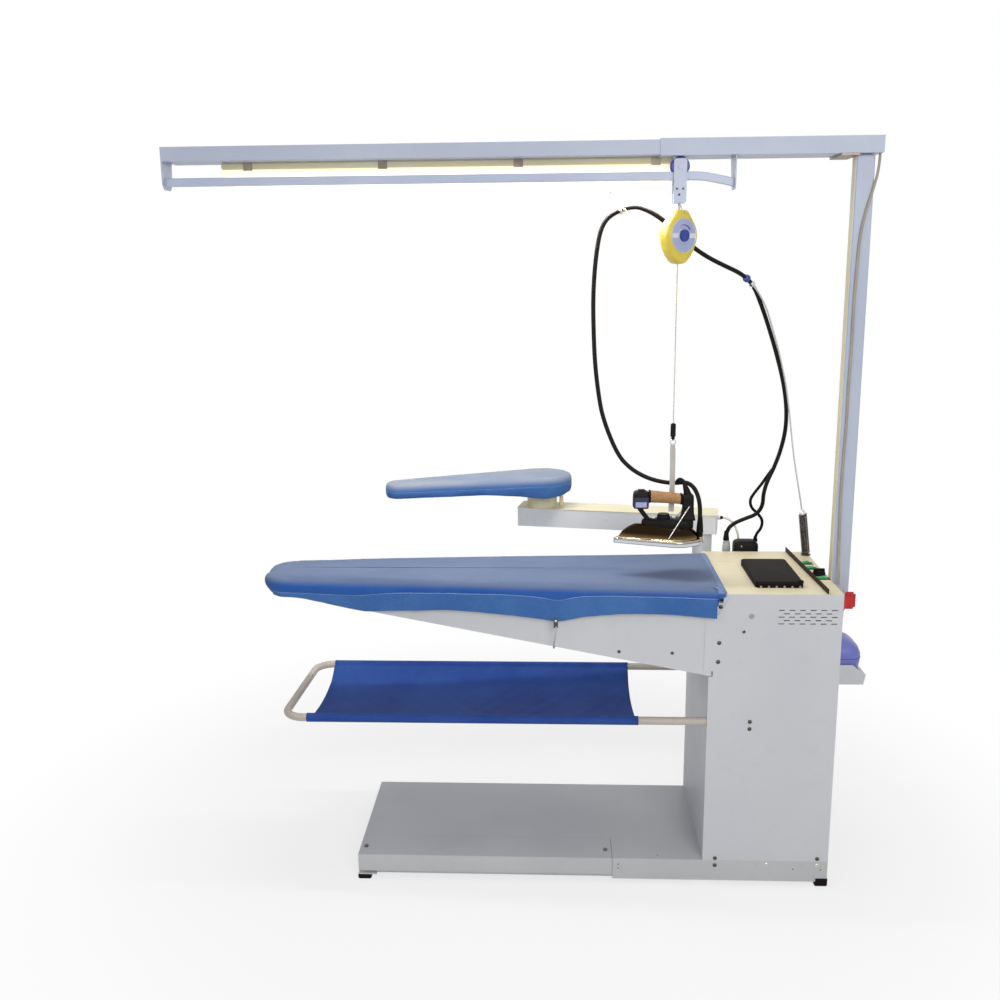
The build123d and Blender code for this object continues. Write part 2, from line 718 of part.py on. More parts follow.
# ================================================================ suction unit and boiler, inside the cabinet
fan_x = 1140.0
fan_low = 290.0
fan_high = 400.0
fan_radius = 120.0
fan_wall = 3.0
motor_radius = 66.0
shaft_radius = 7.0
duct_bend = 70.0
with BuildPart(bench) as fan_housing:
    with Locations((fan_x, board_mid, fan_low)):
        Cylinder(fan_radius, fan_high - fan_low, align=(Align.CENTER, Align.CENTER, Align.MIN))
    outlet_y = (board_mid, base_depth - sheet)
    block((fan_x + 30, fan_x + fan_radius), outlet_y, (fan_low, fan_high))
    with Locations((fan_x, board_mid, fan_low + fan_wall)):
        Cylinder(fan_radius - fan_wall, fan_high - fan_low - 2 * fan_wall,
                 align=(Align.CENTER, Align.CENTER, Align.MIN), mode=Mode.SUBTRACT)
    block((fan_x + 30 + fan_wall, fan_x + fan_radius - fan_wall), outlet_y,
          (fan_low + fan_wall, fan_high - fan_wall), mode=Mode.SUBTRACT)
    with Locations((fan_x, board_mid, fan_low)):
        Cylinder(shaft_radius + 3, fan_wall, align=(Align.CENTER, Align.CENTER, Align.MIN), mode=Mode.SUBTRACT)
    with Locations((fan_x, board_mid, fan_high - fan_wall)):
        Cylinder(duct_diameter / 2 - sheet, fan_wall, align=(Align.CENTER, Align.CENTER, Align.MIN),
                 mode=Mode.SUBTRACT)
    with BuildLine() as duct_line:
        FilletPolyline(*on_bench([(end_wall, board_mid, duct_z), (fan_x, board_mid, duct_z),
                                  (fan_x, board_mid, fan_high)]), radius=duct_bend)
    with BuildSketch(Plane(origin=duct_line.line @ 0, z_dir=duct_line.line % 0)):
        Circle(duct_diameter / 2)
        Circle(duct_diameter / 2 - sheet, mode=Mode.SUBTRACT)
    sweep()
fan_housing.part.label = "fan_housing"
export_step(fan_housing.part, "parts/fan_housing.step")

with BuildPart(bench) as fan_motor:
    with Locations((fan_x, board_mid, base_top)):
        Cylinder(motor_radius, fan_low - base_top, align=(Align.CENTER, Align.CENTER, Align.MIN))
    with Locations((fan_x, board_mid, base_top)):
        Cylinder(motor_radius + 22, 8, align=(Align.CENTER, Align.CENTER, Align.MIN))
    with Locations((fan_x, board_mid, base_top + 40)):
        Cylinder(shaft_radius + running, fan_low - base_top - 40, align=(Align.CENTER, Align.CENTER, Align.MIN),
                 mode=Mode.SUBTRACT)
fan_motor.part.label = "fan_motor"
export_step(fan_motor.part, "parts/fan_motor.step")

impeller_low = fan_low + fan_wall + 6
impeller_radius = fan_radius - fan_wall - 12
blade_count = 12
with BuildPart(bench) as fan_impeller:
    with Locations((fan_x, board_mid, impeller_low)):
        Cylinder(impeller_radius, 3, align=(Align.CENTER, Align.CENTER, Align.MIN))
        Cylinder(18, 46, align=(Align.CENTER, Align.CENTER, Align.MIN))
        with PolarLocations(impeller_radius / 2 + 16, blade_count):
            Box(impeller_radius - 34, 3, 60, align=(Align.CENTER, Align.CENTER, Align.MIN))
    with Locations((fan_x, board_mid, base_top + 42)):
        Cylinder(shaft_radius, impeller_low - base_top - 42, align=(Align.CENTER, Align.CENTER, Align.MIN))
fan_impeller.part.label = "fan_impeller"
export_step(fan_impeller.part, "parts/fan_impeller.step")

boiler_x = 1248.0
boiler_y = 352.0
boiler_radius = 62.0
boiler_height = 190.0
with BuildPart(bench) as boiler:
    with Locations((boiler_x, boiler_y, base_top)):
        Cylinder(boiler_radius - 10, 30, align=(Align.CENTER, Align.CENTER, Align.MIN))
    with Locations((boiler_x, boiler_y, base_top + 26)):
        Cylinder(boiler_radius, boiler_height - 26, align=(Align.CENTER, Align.CENTER, Align.MIN))
    fillet(boiler.edges().filter_by(GeomType.CIRCLE).sort_by(Axis.Z)[-1], radius=24)
    with Locations((boiler_x, boiler_y, base_top + boiler_height - 4)):
        Cylinder(9, 20, align=(Align.CENTER, Align.CENTER, Align.MIN))
boiler.part.label = "boiler"
export_step(boiler.part, "parts/boiler.step")

# ================================================================ catch-cloth tray
with BuildPart() as tray_frame:
    with BuildLine() as tray_line:
        FilletPolyline(*on_bench([
            (tray_end, tray_front_y, tray_height), (tray_left, tray_front_y, tray_height),
            (tray_left_rear, tray_rear_y, tray_height), (tray_end, tray_rear_y, tray_height),
        ]), radius=tray_corner)
    with BuildSketch(Plane(origin=tray_line.line @ 0, z_dir=tray_line.line % 0)):
        Circle(tray_tube / 2)
    sweep()
    for y in (tray_front_y, tray_rear_y):
        wall_y = sheet if y == tray_front_y else base_depth - sheet
        with BuildSketch(level(tray_height - 20)):
            with Locations((tray_end - 14, (y + wall_y) / 2)):
                Rectangle(26, abs(y - wall_y))
        extrude(amount=32)
tray_frame.part.label = "tray_frame"
export_step(tray_frame.part, "parts/tray_frame.step")

sleeve_in = tray_tube / 2 + slip
sleeve_out = sleeve_in + cloth_thickness
with BuildPart() as tray_cloth:
    with BuildSketch(facing_right(cloth_left)):
        with BuildLine():
            front_lip = Line((tray_front_y, tray_height - sleeve_out), (tray_front_y, tray_height - sleeve_in))
            Line((tray_rear_y, tray_height - sleeve_in), (tray_rear_y, tray_height - sleeve_out))
            middle = (tray_front_y + tray_rear_y) / 2
            ThreePointArc((tray_front_y, tray_height - sleeve_in),
                          (middle, tray_height - sleeve_in - cloth_sag), (tray_rear_y, tray_height - sleeve_in))
            ThreePointArc((tray_front_y, tray_height - sleeve_out),
                          (middle, tray_height - sleeve_out - cloth_sag), (tray_rear_y, tray_height - sleeve_out))
        make_face()
        with Locations((tray_front_y, tray_height), (tray_rear_y, tray_height)):
            Circle(sleeve_out)
            Circle(sleeve_in, mode=Mode.SUBTRACT)
    extrude(amount=cloth_right - cloth_left)
tray_cloth.part.label = "tray_cloth"
export_step(tray_cloth.part, "parts/tray_cloth.step")

# ================================================================ gantry
lamp_clips = [(base_length + 16.8, 1784.0), (base_length + 12.9, 1500.0), (base_length + 10, 1012.0)]     # they hold the lamp's cable
with BuildPart(bench) as gantry_column:
    column_x = (base_length, base_length + column_width)
    column_y = (column_front, column_front + column_depth)
    block(column_x, column_y, (column_foot, beam_bottom))
    block((column_x[0] + tube_wall, column_x[1] - tube_wall), (column_y[0] + tube_wall, column_y[1] - tube_wall),
          (column_foot, beam_bottom), mode=Mode.SUBTRACT)
    with BuildSketch(facing_front(column_front)):
        with BuildLine():
            Polyline((base_length, beam_bottom), (base_length - 58, beam_bottom), (base_length - 58, beam_bottom - 3),
                     (base_length, beam_bottom - 44), close=True)
        make_face()
    extrude(amount=-column_depth)
    for x, z in lamp_clips:
        clip_y = (column_front - lamp_cable_diameter - 4, column_front)
        block((x - 7, x + 7), clip_y, (z - 4, z + 4))
        block((x - 4.8, x + 4.8), (clip_y[0] + 1.6, column_front), (z - 4, z + 4), mode=Mode.SUBTRACT)
gantry_column.part.label = "gantry_column"
export_step(gantry_column.part, "parts/gantry_column.step")

beam_right = base_length + column_width + beam_overhang
beam_y = (beam_front, beam_front + beam_depth)
with BuildPart(bench) as gantry_beam:
    block((beam_left, beam_right), beam_y, (beam_bottom, gantry_height))
    block((beam_left, beam_right - tube_wall), (beam_y[0] + tube_wall, beam_y[1] - tube_wall),
          (beam_bottom + tube_wall, gantry_height - tube_wall), mode=Mode.SUBTRACT)
    with BuildSketch(facing_right(rail_right)):
        with BuildLine():
            low = rail_height - rail_joggle - 16
            Polyline((rail_y - 27, beam_bottom), (rail_y - 27, low + 14), (rail_y - 17, low), (rail_y + 17, low),
                     (rail_y + 27, low + 14), (rail_y + 53, beam_bottom), close=True)
        make_face()
    extrude(amount=end_plate)
gantry_beam.part.label = "gantry_beam"
export_step(gantry_beam.part, "parts/gantry_beam.step")

extension_y = (beam_y[0] + tube_wall + extension_slip, beam_y[1] - tube_wall - extension_slip)
with BuildPart(bench) as beam_extension:
    block((extension_left, beam_left + extension_overlap), extension_y, (extension_bottom, extension_top))
    block((extension_left, beam_left + extension_overlap),
          (extension_y[0] + tube_wall, extension_y[1] - tube_wall),
          (extension_bottom + tube_wall, extension_top - tube_wall), mode=Mode.SUBTRACT)
    with BuildSketch(facing_right(extension_left)):
        with BuildLine():
            low = rail_height - 20
            Polyline((extension_y[0], extension_top), (extension_y[0], low + 14), (extension_y[0] + 14, low),
                     (rail_y + 25, low), (rail_y + 37, low + 14), (rail_y + 45, extension_bottom),
                     (rail_y + 45, extension_top), close=True)
        make_face()
    extrude(amount=-end_plate)
    for x in (-105.0, 670.0):
        with Locations((x, 150, extension_top)):
            Box(26, 34, 2.4, align=(Align.CENTER, Align.CENTER, Align.MIN))
beam_extension.part.label = "beam_extension"
export_step(beam_extension.part, "parts/beam_extension.step")

with BuildPart() as tool_rail:
    with BuildLine() as rail_line:
        FilletPolyline(*on_bench([
            (extension_left, rail_y, rail_height), (rail_bend_x, rail_y, rail_height),
            (rail_bend_x + rail_joggle_length, rail_y, rail_height - rail_joggle),
            (rail_right, rail_y, rail_height - rail_joggle),
        ]), radius=60)
    with BuildSketch(Plane(origin=rail_line.line @ 0, z_dir=rail_line.line % 0)):
        Circle(rail_diameter / 2)
        Circle(rail_diameter / 2 - 2, mode=Mode.SUBTRACT)
    sweep()
tool_rail.part.label = "tool_rail"
export_step(tool_rail.part, "parts/tool_rail.step")

lamp_low = lamp_top - lamp_body_height
flare_low = lamp_low - lamp_flare
with BuildPart(bench) as lamp_housing:
    with BuildSketch(facing_right(lamp_left)):
        with BuildLine():
            half_body = lamp_body_width / 2
            half_lamp = lamp_width / 2
            Polyline((lamp_y - half_body, lamp_top), (lamp_y - half_body, lamp_low), (lamp_y - half_lamp, flare_low),
                     (lamp_y + half_lamp, flare_low), (lamp_y + half_body, lamp_low), (lamp_y + half_body, lamp_top),
                     close=True)
        make_face()
    extrude(amount=lamp_right - lamp_left)
    for x in (-262.0, 155.0, 545.0, 790.0):
        strap_y = (lamp_y - half_body - strap_sheet, lamp_y + half_body + strap_sheet)
        block((x, x + strap_width), strap_y, (lamp_low + 2, extension_bottom))
lamp_housing.part.label = "lamp_housing"
export_step(lamp_housing.part, "parts/lamp_housing.step")

with BuildPart() as lamp_diffuser:
    diffuser_low = flare_low - diffuser_height + 6
    with BuildSketch(facing_front(lamp_y - half_lamp + 2)):
        with BuildLine():
            Polyline((lamp_left + 4, flare_low), (lamp_left + 20, flare_low - 12), (lamp_left + 52, diffuser_low),
                     (lamp_right - 6, diffuser_low), (lamp_right - 2, flare_low), close=True)
        make_face()
    extrude(amount=-(lamp_width - 4))
    diffuser_edges = lamp_diffuser.edges().filter_by(Axis.X).sort_by(Axis.Z)[:2]
    fillet(diffuser_edges, radius=14)
lamp_diffuser.part.label = "lamp_diffuser"
export_step(lamp_diffuser.part, "parts/lamp_diffuser.step")

# ================================================================ trolley and balancer
trolley_bench = Plane(origin=(bench_x + trolley_x, bench_y + rail_y, 0))
plate_out = plate_gap / 2 + plate_sheet


def across(z):
    """Upright plane through the trolley, facing the front, centred on its axis at height z."""
    return Plane(origin=(bench_x + trolley_x, bench_y + rail_y, z), x_dir=(1, 0, 0), z_dir=(0, -1, 0))


spacer_top = rail_height - rail_diameter / 2 - 16
with BuildPart(trolley_bench) as trolley_frame:
    for side in (-1, 1):
        with BuildSketch(across((plate_top + plate_bottom) / 2).offset(side * plate_gap / 2)):
            RectangleRounded(plate_width, plate_top - plate_bottom, 5)
        extrude(amount=side * plate_sheet)
    block((-plate_width / 2 + 2, plate_width / 2 - 2), (-plate_gap / 2, plate_gap / 2), (plate_bottom + 2, spacer_top))
    for x in (-8, 8):
        with BuildSketch(across(spacer_top - 8)):
            with Locations((x, 0)):
                Circle(3)
        extrude(amount=plate_out + 1.2, both=True)
    with BuildSketch(across(wheel_z)):
        Circle(wheel_axle / 2)
    extrude(amount=plate_out + 2, both=True)
    for side in (-1, 1):
        with BuildSketch(across(wheel_z).offset(side * plate_out)):
            Circle(7)
        extrude(amount=side * 2.5)
    with Locations((0, 0, plate_bottom + 2)):
        Cylinder(3, plate_bottom - balancer_top + 16, align=(Align.CENTER, Align.CENTER, Align.MAX))
    with Locations((0, 0, balancer_top - 14)):
        Cylinder(5, 3, align=(Align.CENTER, Align.CENTER, Align.MIN))
trolley_frame.part.label = "trolley_frame"
export_step(trolley_frame.part, "parts/trolley_frame.step")

with BuildPart() as trolley_wheel:
    with BuildSketch(Plane(origin=(bench_x + trolley_x, bench_y + rail_y, wheel_z), x_dir=(0, 1, 0),
                           z_dir=(1, 0, 0))):
        with Locations((0, wheel_radius / 2)):
            Rectangle(wheel_width, wheel_radius)
        with Locations((0, 4.5)):
            Rectangle(plate_gap - 2 * slip, 9)
        with Locations((0, wheel_root + wheel_radius / 2)):
            Rectangle(rail_diameter + 2 * slip, wheel_radius, mode=Mode.SUBTRACT)
        with Locations((0, wheel_axle / 4)):
            Rectangle(plate_gap, wheel_axle / 2 + 2 * running, mode=Mode.SUBTRACT)
    wheel_axis = Axis((bench_x + trolley_x, bench_y + rail_y, wheel_z), (0, 1, 0))
    revolve(axis=wheel_axis)
trolley_wheel.part.label = "trolley_wheel"
export_step(trolley_wheel.part, "parts/trolley_wheel.step")

yaw = radians(balancer_yaw)
balancer_mid = (balancer_top + balancer_bottom) / 2 + 2
balancer_face = Plane(origin=(bench_x + trolley_x, bench_y + rail_y, balancer_mid),
                      x_dir=(cos(yaw), sin(yaw), 0), z_dir=(sin(yaw), -cos(yaw), 0))
balancer_half = balancer_thickness / 2
with BuildPart(balancer_face) as balancer_case:
    with BuildSketch(balancer_face):
        for y, radius in ((0, balancer_width / 2), (balancer_top - balancer_mid - 15, 15),
                          (balancer_bottom - balancer_mid + 12, 12)):
            with Locations((0, y)):
                Circle(radius)
        make_hull()
    extrude(amount=balancer_half, both=True)
    fillet(balancer_case.faces().sort_by(Axis((0, 0, 0), balancer_face.z_dir))[0].edges(), radius=9)
    fillet(balancer_case.faces().sort_by(Axis((0, 0, 0), balancer_face.z_dir))[-1].edges(), radius=9)
    with BuildSketch(balancer_face.offset(balancer_half)):
        Circle(balancer_label / 2 - 8)
    extrude(amount=1.2)
    with BuildSketch(balancer_face.offset(balancer_half + 1.2)):
        Circle(3)
    extrude(amount=6)
    with BuildSketch(Plane(origin=(bench_x + trolley_x, bench_y + rail_y, balancer_top - 14 - slip))):
        Circle(5 + slip)
    extrude(amount=3 + 2 * slip, mode=Mode.SUBTRACT)
    with BuildSketch(Plane(origin=(bench_x + trolley_x, bench_y + rail_y, balancer_top - 14))):
        Circle(3 + running)
    extrude(amount=16, mode=Mode.SUBTRACT)
    with BuildSketch(Plane(origin=(bench_x + trolley_x, bench_y + rail_y, balancer_bottom - 2))):
        Circle(cable_diameter / 2 + 1)
    extrude(amount=16, mode=Mode.SUBTRACT)
balancer_case.part.label = "balancer_case"
export_step(balancer_case.part, "parts/balancer_case.step")

with BuildPart() as balancer_knob:
    with BuildSketch(balancer_face.offset(balancer_half + 1.2 + slip)):
        Circle(balancer_knob_diameter / 2)
        Circle(3 + running, mode=Mode.SUBTRACT)
    extrude(amount=7, taper=4)
balancer_knob.part.label = "balancer_knob"
export_step(balancer_knob.part, "parts/balancer_knob.step")

with BuildPart(trolley_bench) as balancer_cable:
    with Locations((0, 0, clip_top)):
        Cylinder(cable_diameter / 2, balancer_bottom + 12 - clip_top, align=(Align.CENTER, Align.CENTER, Align.MIN))
balancer_cable.part.label = "balancer_cable"
export_step(balancer_cable.part, "parts/balancer_cable.step")

with BuildPart(trolley_bench) as iron_sling:
    block((-9, 9), (-5, 5), (clip_bottom, clip_top))
    with BuildSketch(across(clip_bottom - 4)):
        Circle(9)
        Circle(5.5, mode=Mode.SUBTRACT)
    extrude(amount=2, both=True)
    block((-7.5, 7.5), (-1.3, 1.3), (strap_bottom, clip_bottom - 11))
iron_sling.part.label = "iron_sling"
export_step(iron_sling.part, "parts/iron_sling.step")

# ================================================================ iron
sole_circles = [(iron_tip + 7, iron_y, 7), (iron_tip + 172, iron_y, iron_half_width),
                (iron_heel - 46, iron_y, 46)]
sole_top = iron_sole_bottom + sole_thickness
with BuildPart() as iron_sole:
    with BuildSketch(level(iron_sole_bottom)):
        add(tapered_hull(sole_circles, 0))
    extrude(amount=sole_thickness)
    chamfer(iron_sole.faces().sort_by(Axis.Z)[0].edges(), length=2)
iron_sole.part.label = "iron_sole"
export_step(iron_sole.part, "parts/iron_sole.step")


def iron_ring(inset):
    """The iron's outline pulled in, kept as three arcs so that lofts between rings stay smooth."""
    circles = [(iron_tip + 7 + inset * 1.3, iron_y, 7), (iron_tip + 172, iron_y, iron_half_width - inset),
               (iron_heel - 46 - inset * 0.6, iron_y, 46 - inset * 0.6)]
    return tapered_hull(circles, 0)


cover_wall = 3.0
hose_end = (959.0, 106.0, 1014.0)
with BuildPart() as iron_cover:
    with BuildSketch(level(sole_top)):
        add(iron_ring(5))
    with BuildSketch(level(iron_cover_top - 12)):
        add(iron_ring(17))
    with BuildSketch(level(iron_cover_top)):
        add(iron_ring(32))
    loft()
    with BuildSketch(level(sole_top)):
        add(iron_ring(5 + cover_wall))
    with BuildSketch(level(iron_cover_top - 12 - cover_wall / 2)):
        add(iron_ring(17 + cover_wall))
    with BuildSketch(level(iron_cover_top - cover_wall)):
        add(iron_ring(32))
    loft(mode=Mode.SUBTRACT)
    for side in (-1, 1):
        wire_low = Vector(869, iron_y + side * 54, 996)
        wire_high = Vector(928, iron_y + side * 15.6, 1078)
        low_point, high_point = on_bench([tuple(wire_low), tuple(wire_high)])
        with BuildSketch(Plane(origin=low_point, z_dir=high_point - low_point)):
            Circle(1.4)
        extrude(amount=(high_point - low_point).length)
    with BuildSketch(level(sole_top)):
        with Locations(hose_end[:2]):
            Circle(hose_diameter / 2 + 2)
    extrude(amount=hose_end[2] - sole_top)
iron_cover.part.label = "iron_cover"
export_step(iron_cover.part, "parts/iron_cover.step")

block_z = (1071.0, 1118.0)
block_x = (776.0, handle_left)
post_z = 1108.0
dial_place = (860.0, iron_y - 2)
dial_radius = 17.5
with BuildPart(bench) as iron_body:
    with BuildSketch(level(iron_cover_top)):
        add(iron_ring(33))
    extrude(amount=iron_base_top - iron_cover_top)
    block((handle_right, 941), (iron_y - 14, iron_y + 14), (iron_base_top - 1, post_z))
    block((handle_right + 1, handle_right + 9), (iron_y - 6, iron_y + 6), (post_z - 1, post_z + 42))
    block(block_x, (iron_y - 22, iron_y + 22), block_z)
    block((790, 808), (iron_y - 9, iron_y + 9), (block_z[1] - 4, block_z[1]), mode=Mode.SUBTRACT)
    with BuildSketch(facing_front(iron_y)):
        with BuildLine():
            Polyline((786, block_z[0] + 2), (800, block_z[0] + 2), (826, iron_base_top - 2), (812, iron_base_top - 2),
                     close=True)
        make_face()
    extrude(amount=8, both=True)
    block((trolley_x - 10, trolley_x + 10), (rail_y - 5, rail_y + 5), (iron_base_top - 1, strap_bottom))
    with Locations((*dial_place, iron_base_top - 8)):
        Cylinder(3 + running, 8, align=(Align.CENTER, Align.CENTER, Align.MIN), mode=Mode.SUBTRACT)
iron_body.part.label = "iron_body"
export_step(iron_body.part, "parts/iron_body.step")

with BuildPart() as iron_handle:
    for x, z, radius in ((handle_left, handle_height + 3, 17), ((handle_left + handle_right) / 2, handle_height, 15.5),
                         (handle_right, handle_height - 4, 14.5)):
        with BuildSketch(facing_right(x)):
            with Locations((iron_y, z)):
                Circle(radius)
    loft()
iron_handle.part.label = "iron_handle"
export_step(iron_handle.part, "parts/iron_handle.step")

with BuildPart(bench) as iron_dial:
    with BuildSketch(level(iron_base_top + slip)):
        with Locations(dial_place):
            Circle(dial_radius)
    extrude(amount=15, taper=8)
    with Locations((*dial_place, iron_base_top + slip)):
        Cylinder(3, 7, align=(Align.CENTER, Align.CENTER, Align.MAX))
iron_dial.part.label = "iron_dial"
export_step(iron_dial.part, "parts/iron_dial.step")

with BuildPart(bench) as iron_button:
    block((790 + slip, 808 - slip), (iron_y - 9 + slip, iron_y + 9 - slip), (block_z[1] - 1, block_z[1] + 4))
iron_button.part.label = "iron_button"
export_step(iron_button.part, "parts/iron_button.step")

# ================================================================ sleeve board on its swinging arm
arm_x_dir = (arm_dir[0], arm_dir[1], 0)
arm_bench = Plane(origin=(bench_x + post_x, bench_y + post_y, 0), x_dir=arm_x_dir)


def arm_level(z):
    """Plane at height z: its x runs from the post along the arm, its y to the front."""
    return Plane(origin=(bench_x + post_x, bench_y + post_y, z), x_dir=arm_x_dir)


spindle_top = arm_bottom - 4
with BuildPart(bench) as post_bracket:
    plate_x = (post_x - 42, post_x + 42)
    block(plate_x, (base_depth, post_y + 38), (post_foot - 8, post_foot))
    block(plate_x, (base_depth, base_depth + 5), (post_foot - 120, post_foot + 60))
    for x in plate_x:
        inner = x + 4 if x < post_x else x - 4
        with BuildSketch(facing_right(min(x, inner))):
            with BuildLine():
                Polyline((base_depth + 4, post_foot - 4), (post_y + 20, post_foot - 4), (base_depth + 4, post_foot - 110),
                         close=True)
            make_face()
        extrude(amount=4)
    with Locations((post_x, post_y, post_foot - 2)):
        Cylinder(spindle_diameter / 2, spindle_top - post_foot + 2, align=(Align.CENTER, Align.CENTER, Align.MIN))
post_bracket.part.label = "post_bracket"
export_step(post_bracket.part, "parts/post_bracket.step")

with BuildPart(arm_bench) as arm_box:
    block((-arm_back, arm_reach), (-arm_width / 2, arm_width / 2), (arm_bottom, arm_lid_top - sheet))
    fillet(arm_box.edges().filter_by(Axis.Z), radius=5)
    block((-arm_back + sheet, arm_reach - sheet), (-arm_width / 2 + sheet, arm_width / 2 - sheet),
          (arm_bottom + sheet, arm_lid_top), mode=Mode.SUBTRACT)
    with Locations((0, 0, post_foot + slip)):
        Cylinder(post_diameter / 2, arm_bottom - post_foot, align=(Align.CENTER, Align.CENTER, Align.MIN))
        Cylinder(spindle_diameter / 2 + running, arm_bottom - post_foot + 6,
                 align=(Align.CENTER, Align.CENTER, Align.MIN), mode=Mode.SUBTRACT)
    with BuildSketch(Plane(origin=arm_bench.from_local_coords(Vector(-arm_back, 18, arm_bottom + 47)),
                           x_dir=(0, 0, 1), z_dir=(-arm_dir[0], -arm_dir[1], 0))):
        Circle(6.5)
    extrude(amount=9)
    for a in (60.0, 300.0, 540.0):
        with BuildSketch(Plane(origin=arm_bench.from_local_coords(Vector(a, arm_width / 2, arm_bottom + 34)),
                               x_dir=arm_x_dir, z_dir=arm_bench.y_dir)):
            Circle(4)
        extrude(amount=2, taper=20)
arm_box.part.label = "arm_box"
export_step(arm_box.part, "parts/arm_box.step")

with BuildPart(arm_bench) as arm_lid:
    block((-arm_back - 1, arm_reach + 1), (-arm_width / 2 - 1, arm_width / 2 + 1), (arm_lid_top - sheet, arm_lid_top))
    fillet(arm_lid.edges().filter_by(Axis.Z), radius=5)
    with Locations((swivel_reach, 0, arm_lid_top)):
        Hole(radius=swivel_bore / 2, depth=sheet)
    with Locations((swivel_reach - stop_rod_radius, 0, arm_lid_top - sheet)):
        Cylinder(stop_rod_diameter / 2, sleeve_seat + 10 - arm_lid_top, align=(Align.CENTER, Align.CENTER, Align.MIN))
    collar_height = sleeve_seat - 2 - arm_lid_top
    with Locations((swivel_reach, 0, arm_lid_top)):
        Cylinder(collar_diameter / 2, collar_height, align=(Align.CENTER, Align.CENTER, Align.MIN))
        Cylinder(collar_bore / 2, collar_height, align=(Align.CENTER, Align.CENTER, Align.MIN),
                 mode=Mode.SUBTRACT)
arm_lid.part.label = "arm_lid"
export_step(arm_lid.part, "parts/arm_lid.step")

sleeve_x_dir = (-cos(radians(sleeve_angle)), -sin(radians(sleeve_angle)), 0)


def sleeve_level(z):
    """Plane at height z: its x runs from the swivel to the sleeve board's tip, its y to the front."""
    return Plane(origin=(bench_x + swivel_x, bench_y + swivel_y, z), x_dir=sleeve_x_dir)


tray_inset = 11.0
tray_top = sleeve_seat + sleeve_tray_depth
rod_direction = -(arm_angle + sleeve_angle)      # from the swivel to the stop rod, in the sleeve board's measure
slot_start = 180 + rod_direction - stop_half_angle
with BuildSketch() as stop_slot:
    SlotArc(CenterArc((0, 0), stop_rod_radius, slot_start, 2 * stop_half_angle, mode=Mode.PRIVATE),
            height=stop_rod_diameter + 2)

with BuildPart() as sleeve_tray:
    with BuildSketch(sleeve_level(sleeve_seat)):
        add(sleeve_outline(tray_inset))
    extrude(amount=sleeve_tray_depth)
    with BuildSketch(sleeve_level(sleeve_seat + sheet)):
        add(sleeve_outline(tray_inset + sheet))
    extrude(amount=sleeve_tray_depth - 2 * sheet, mode=Mode.SUBTRACT)
    with BuildSketch(sleeve_level(tray_top - sheet)):
        with Locations((sleeve_reach / 2 - 20, 0)):
            with GridLocations(36, 26, 13, 2):
                Circle(5.5)
    extrude(amount=sheet, mode=Mode.SUBTRACT)
    with BuildSketch(sleeve_level(sleeve_seat)):
        Circle(swivel_bore / 2)
        add(stop_slot.sketch)
    extrude(amount=sheet, mode=Mode.SUBTRACT)
    with BuildSketch(sleeve_level(arm_lid_top + slip)):
        Circle(collar_bore / 2 - running)
        Circle(swivel_bore / 2, mode=Mode.SUBTRACT)
    extrude(amount=sleeve_seat - arm_lid_top - slip)
sleeve_tray.part.label = "sleeve_tray"
export_step(sleeve_tray.part, "parts/sleeve_tray.step")

sleeve_skin = 4.0
sleeve_pad_high = sleeve_height - sleeve_skin - slip
with BuildPart() as sleeve_pad:
    with BuildSketch(sleeve_level(tray_top + slip)):
        add(sleeve_outline(sleeve_skin + 1))
    extrude(amount=sleeve_pad_high - tray_top - slip)
    fillet(sleeve_pad.faces().sort_by(Axis.Z)[-1].edges(), radius=5)
sleeve_pad.part.label = "sleeve_pad"
export_step(sleeve_pad.part, "parts/sleeve_pad.step")

sleeve_hem = [(530, 1024), (200, 1023), (95, 1013), (25, 1003), (-40, 1008), (-110, 1023)]
with BuildPart() as sleeve_cover:
    sleeve_hem_low = min(z for _, z in sleeve_hem)
    with BuildSketch(sleeve_level(sleeve_hem_low - 5)):
        add(sleeve_outline(0))
    extrude(amount=sleeve_height - sleeve_hem_low + 5)
    fillet(sleeve_cover.faces().sort_by(Axis.Z)[-1].edges(), radius=9)
    with BuildSketch(sleeve_level(sleeve_hem_low - 5)):
        add(sleeve_outline(sleeve_skin))
    extrude(amount=sleeve_pad_high + slip - sleeve_hem_low + 5, mode=Mode.SUBTRACT)
    sleeve_side = Plane(origin=(bench_x + swivel_x, bench_y + swivel_y, 0), x_dir=sleeve_x_dir,
                        z_dir=(sleeve_x_dir[1], -sleeve_x_dir[0], 0))
    with BuildSketch(sleeve_side):
        with BuildLine():
            Polyline(*sleeve_hem, (-110, sleeve_hem_low - 20), (530, sleeve_hem_low - 20), close=True)
        make_face()
    extrude(amount=2 * sleeve_wide_radius, both=True, mode=Mode.SUBTRACT)
sleeve_cover.part.label = "sleeve_cover"
export_step(sleeve_cover.part, "parts/sleeve_cover.step")

# ================================================================ hose support, hoses and leads
support_path = [(1306, 400, 988), (1292, 402, 1061), (1273, 403, 1155), (1260, 401, 1240), (1249, 396, 1310),
                (1234.8, 383, 1378), (1209, 362, 1464), (1178, 338, 1549), (1147, 312, 1622),
                (1112.7, 293.1, 1662.7)]
ring_share = 0.6570          # places along the hose, as shares of its length
ball_share = 0.6770

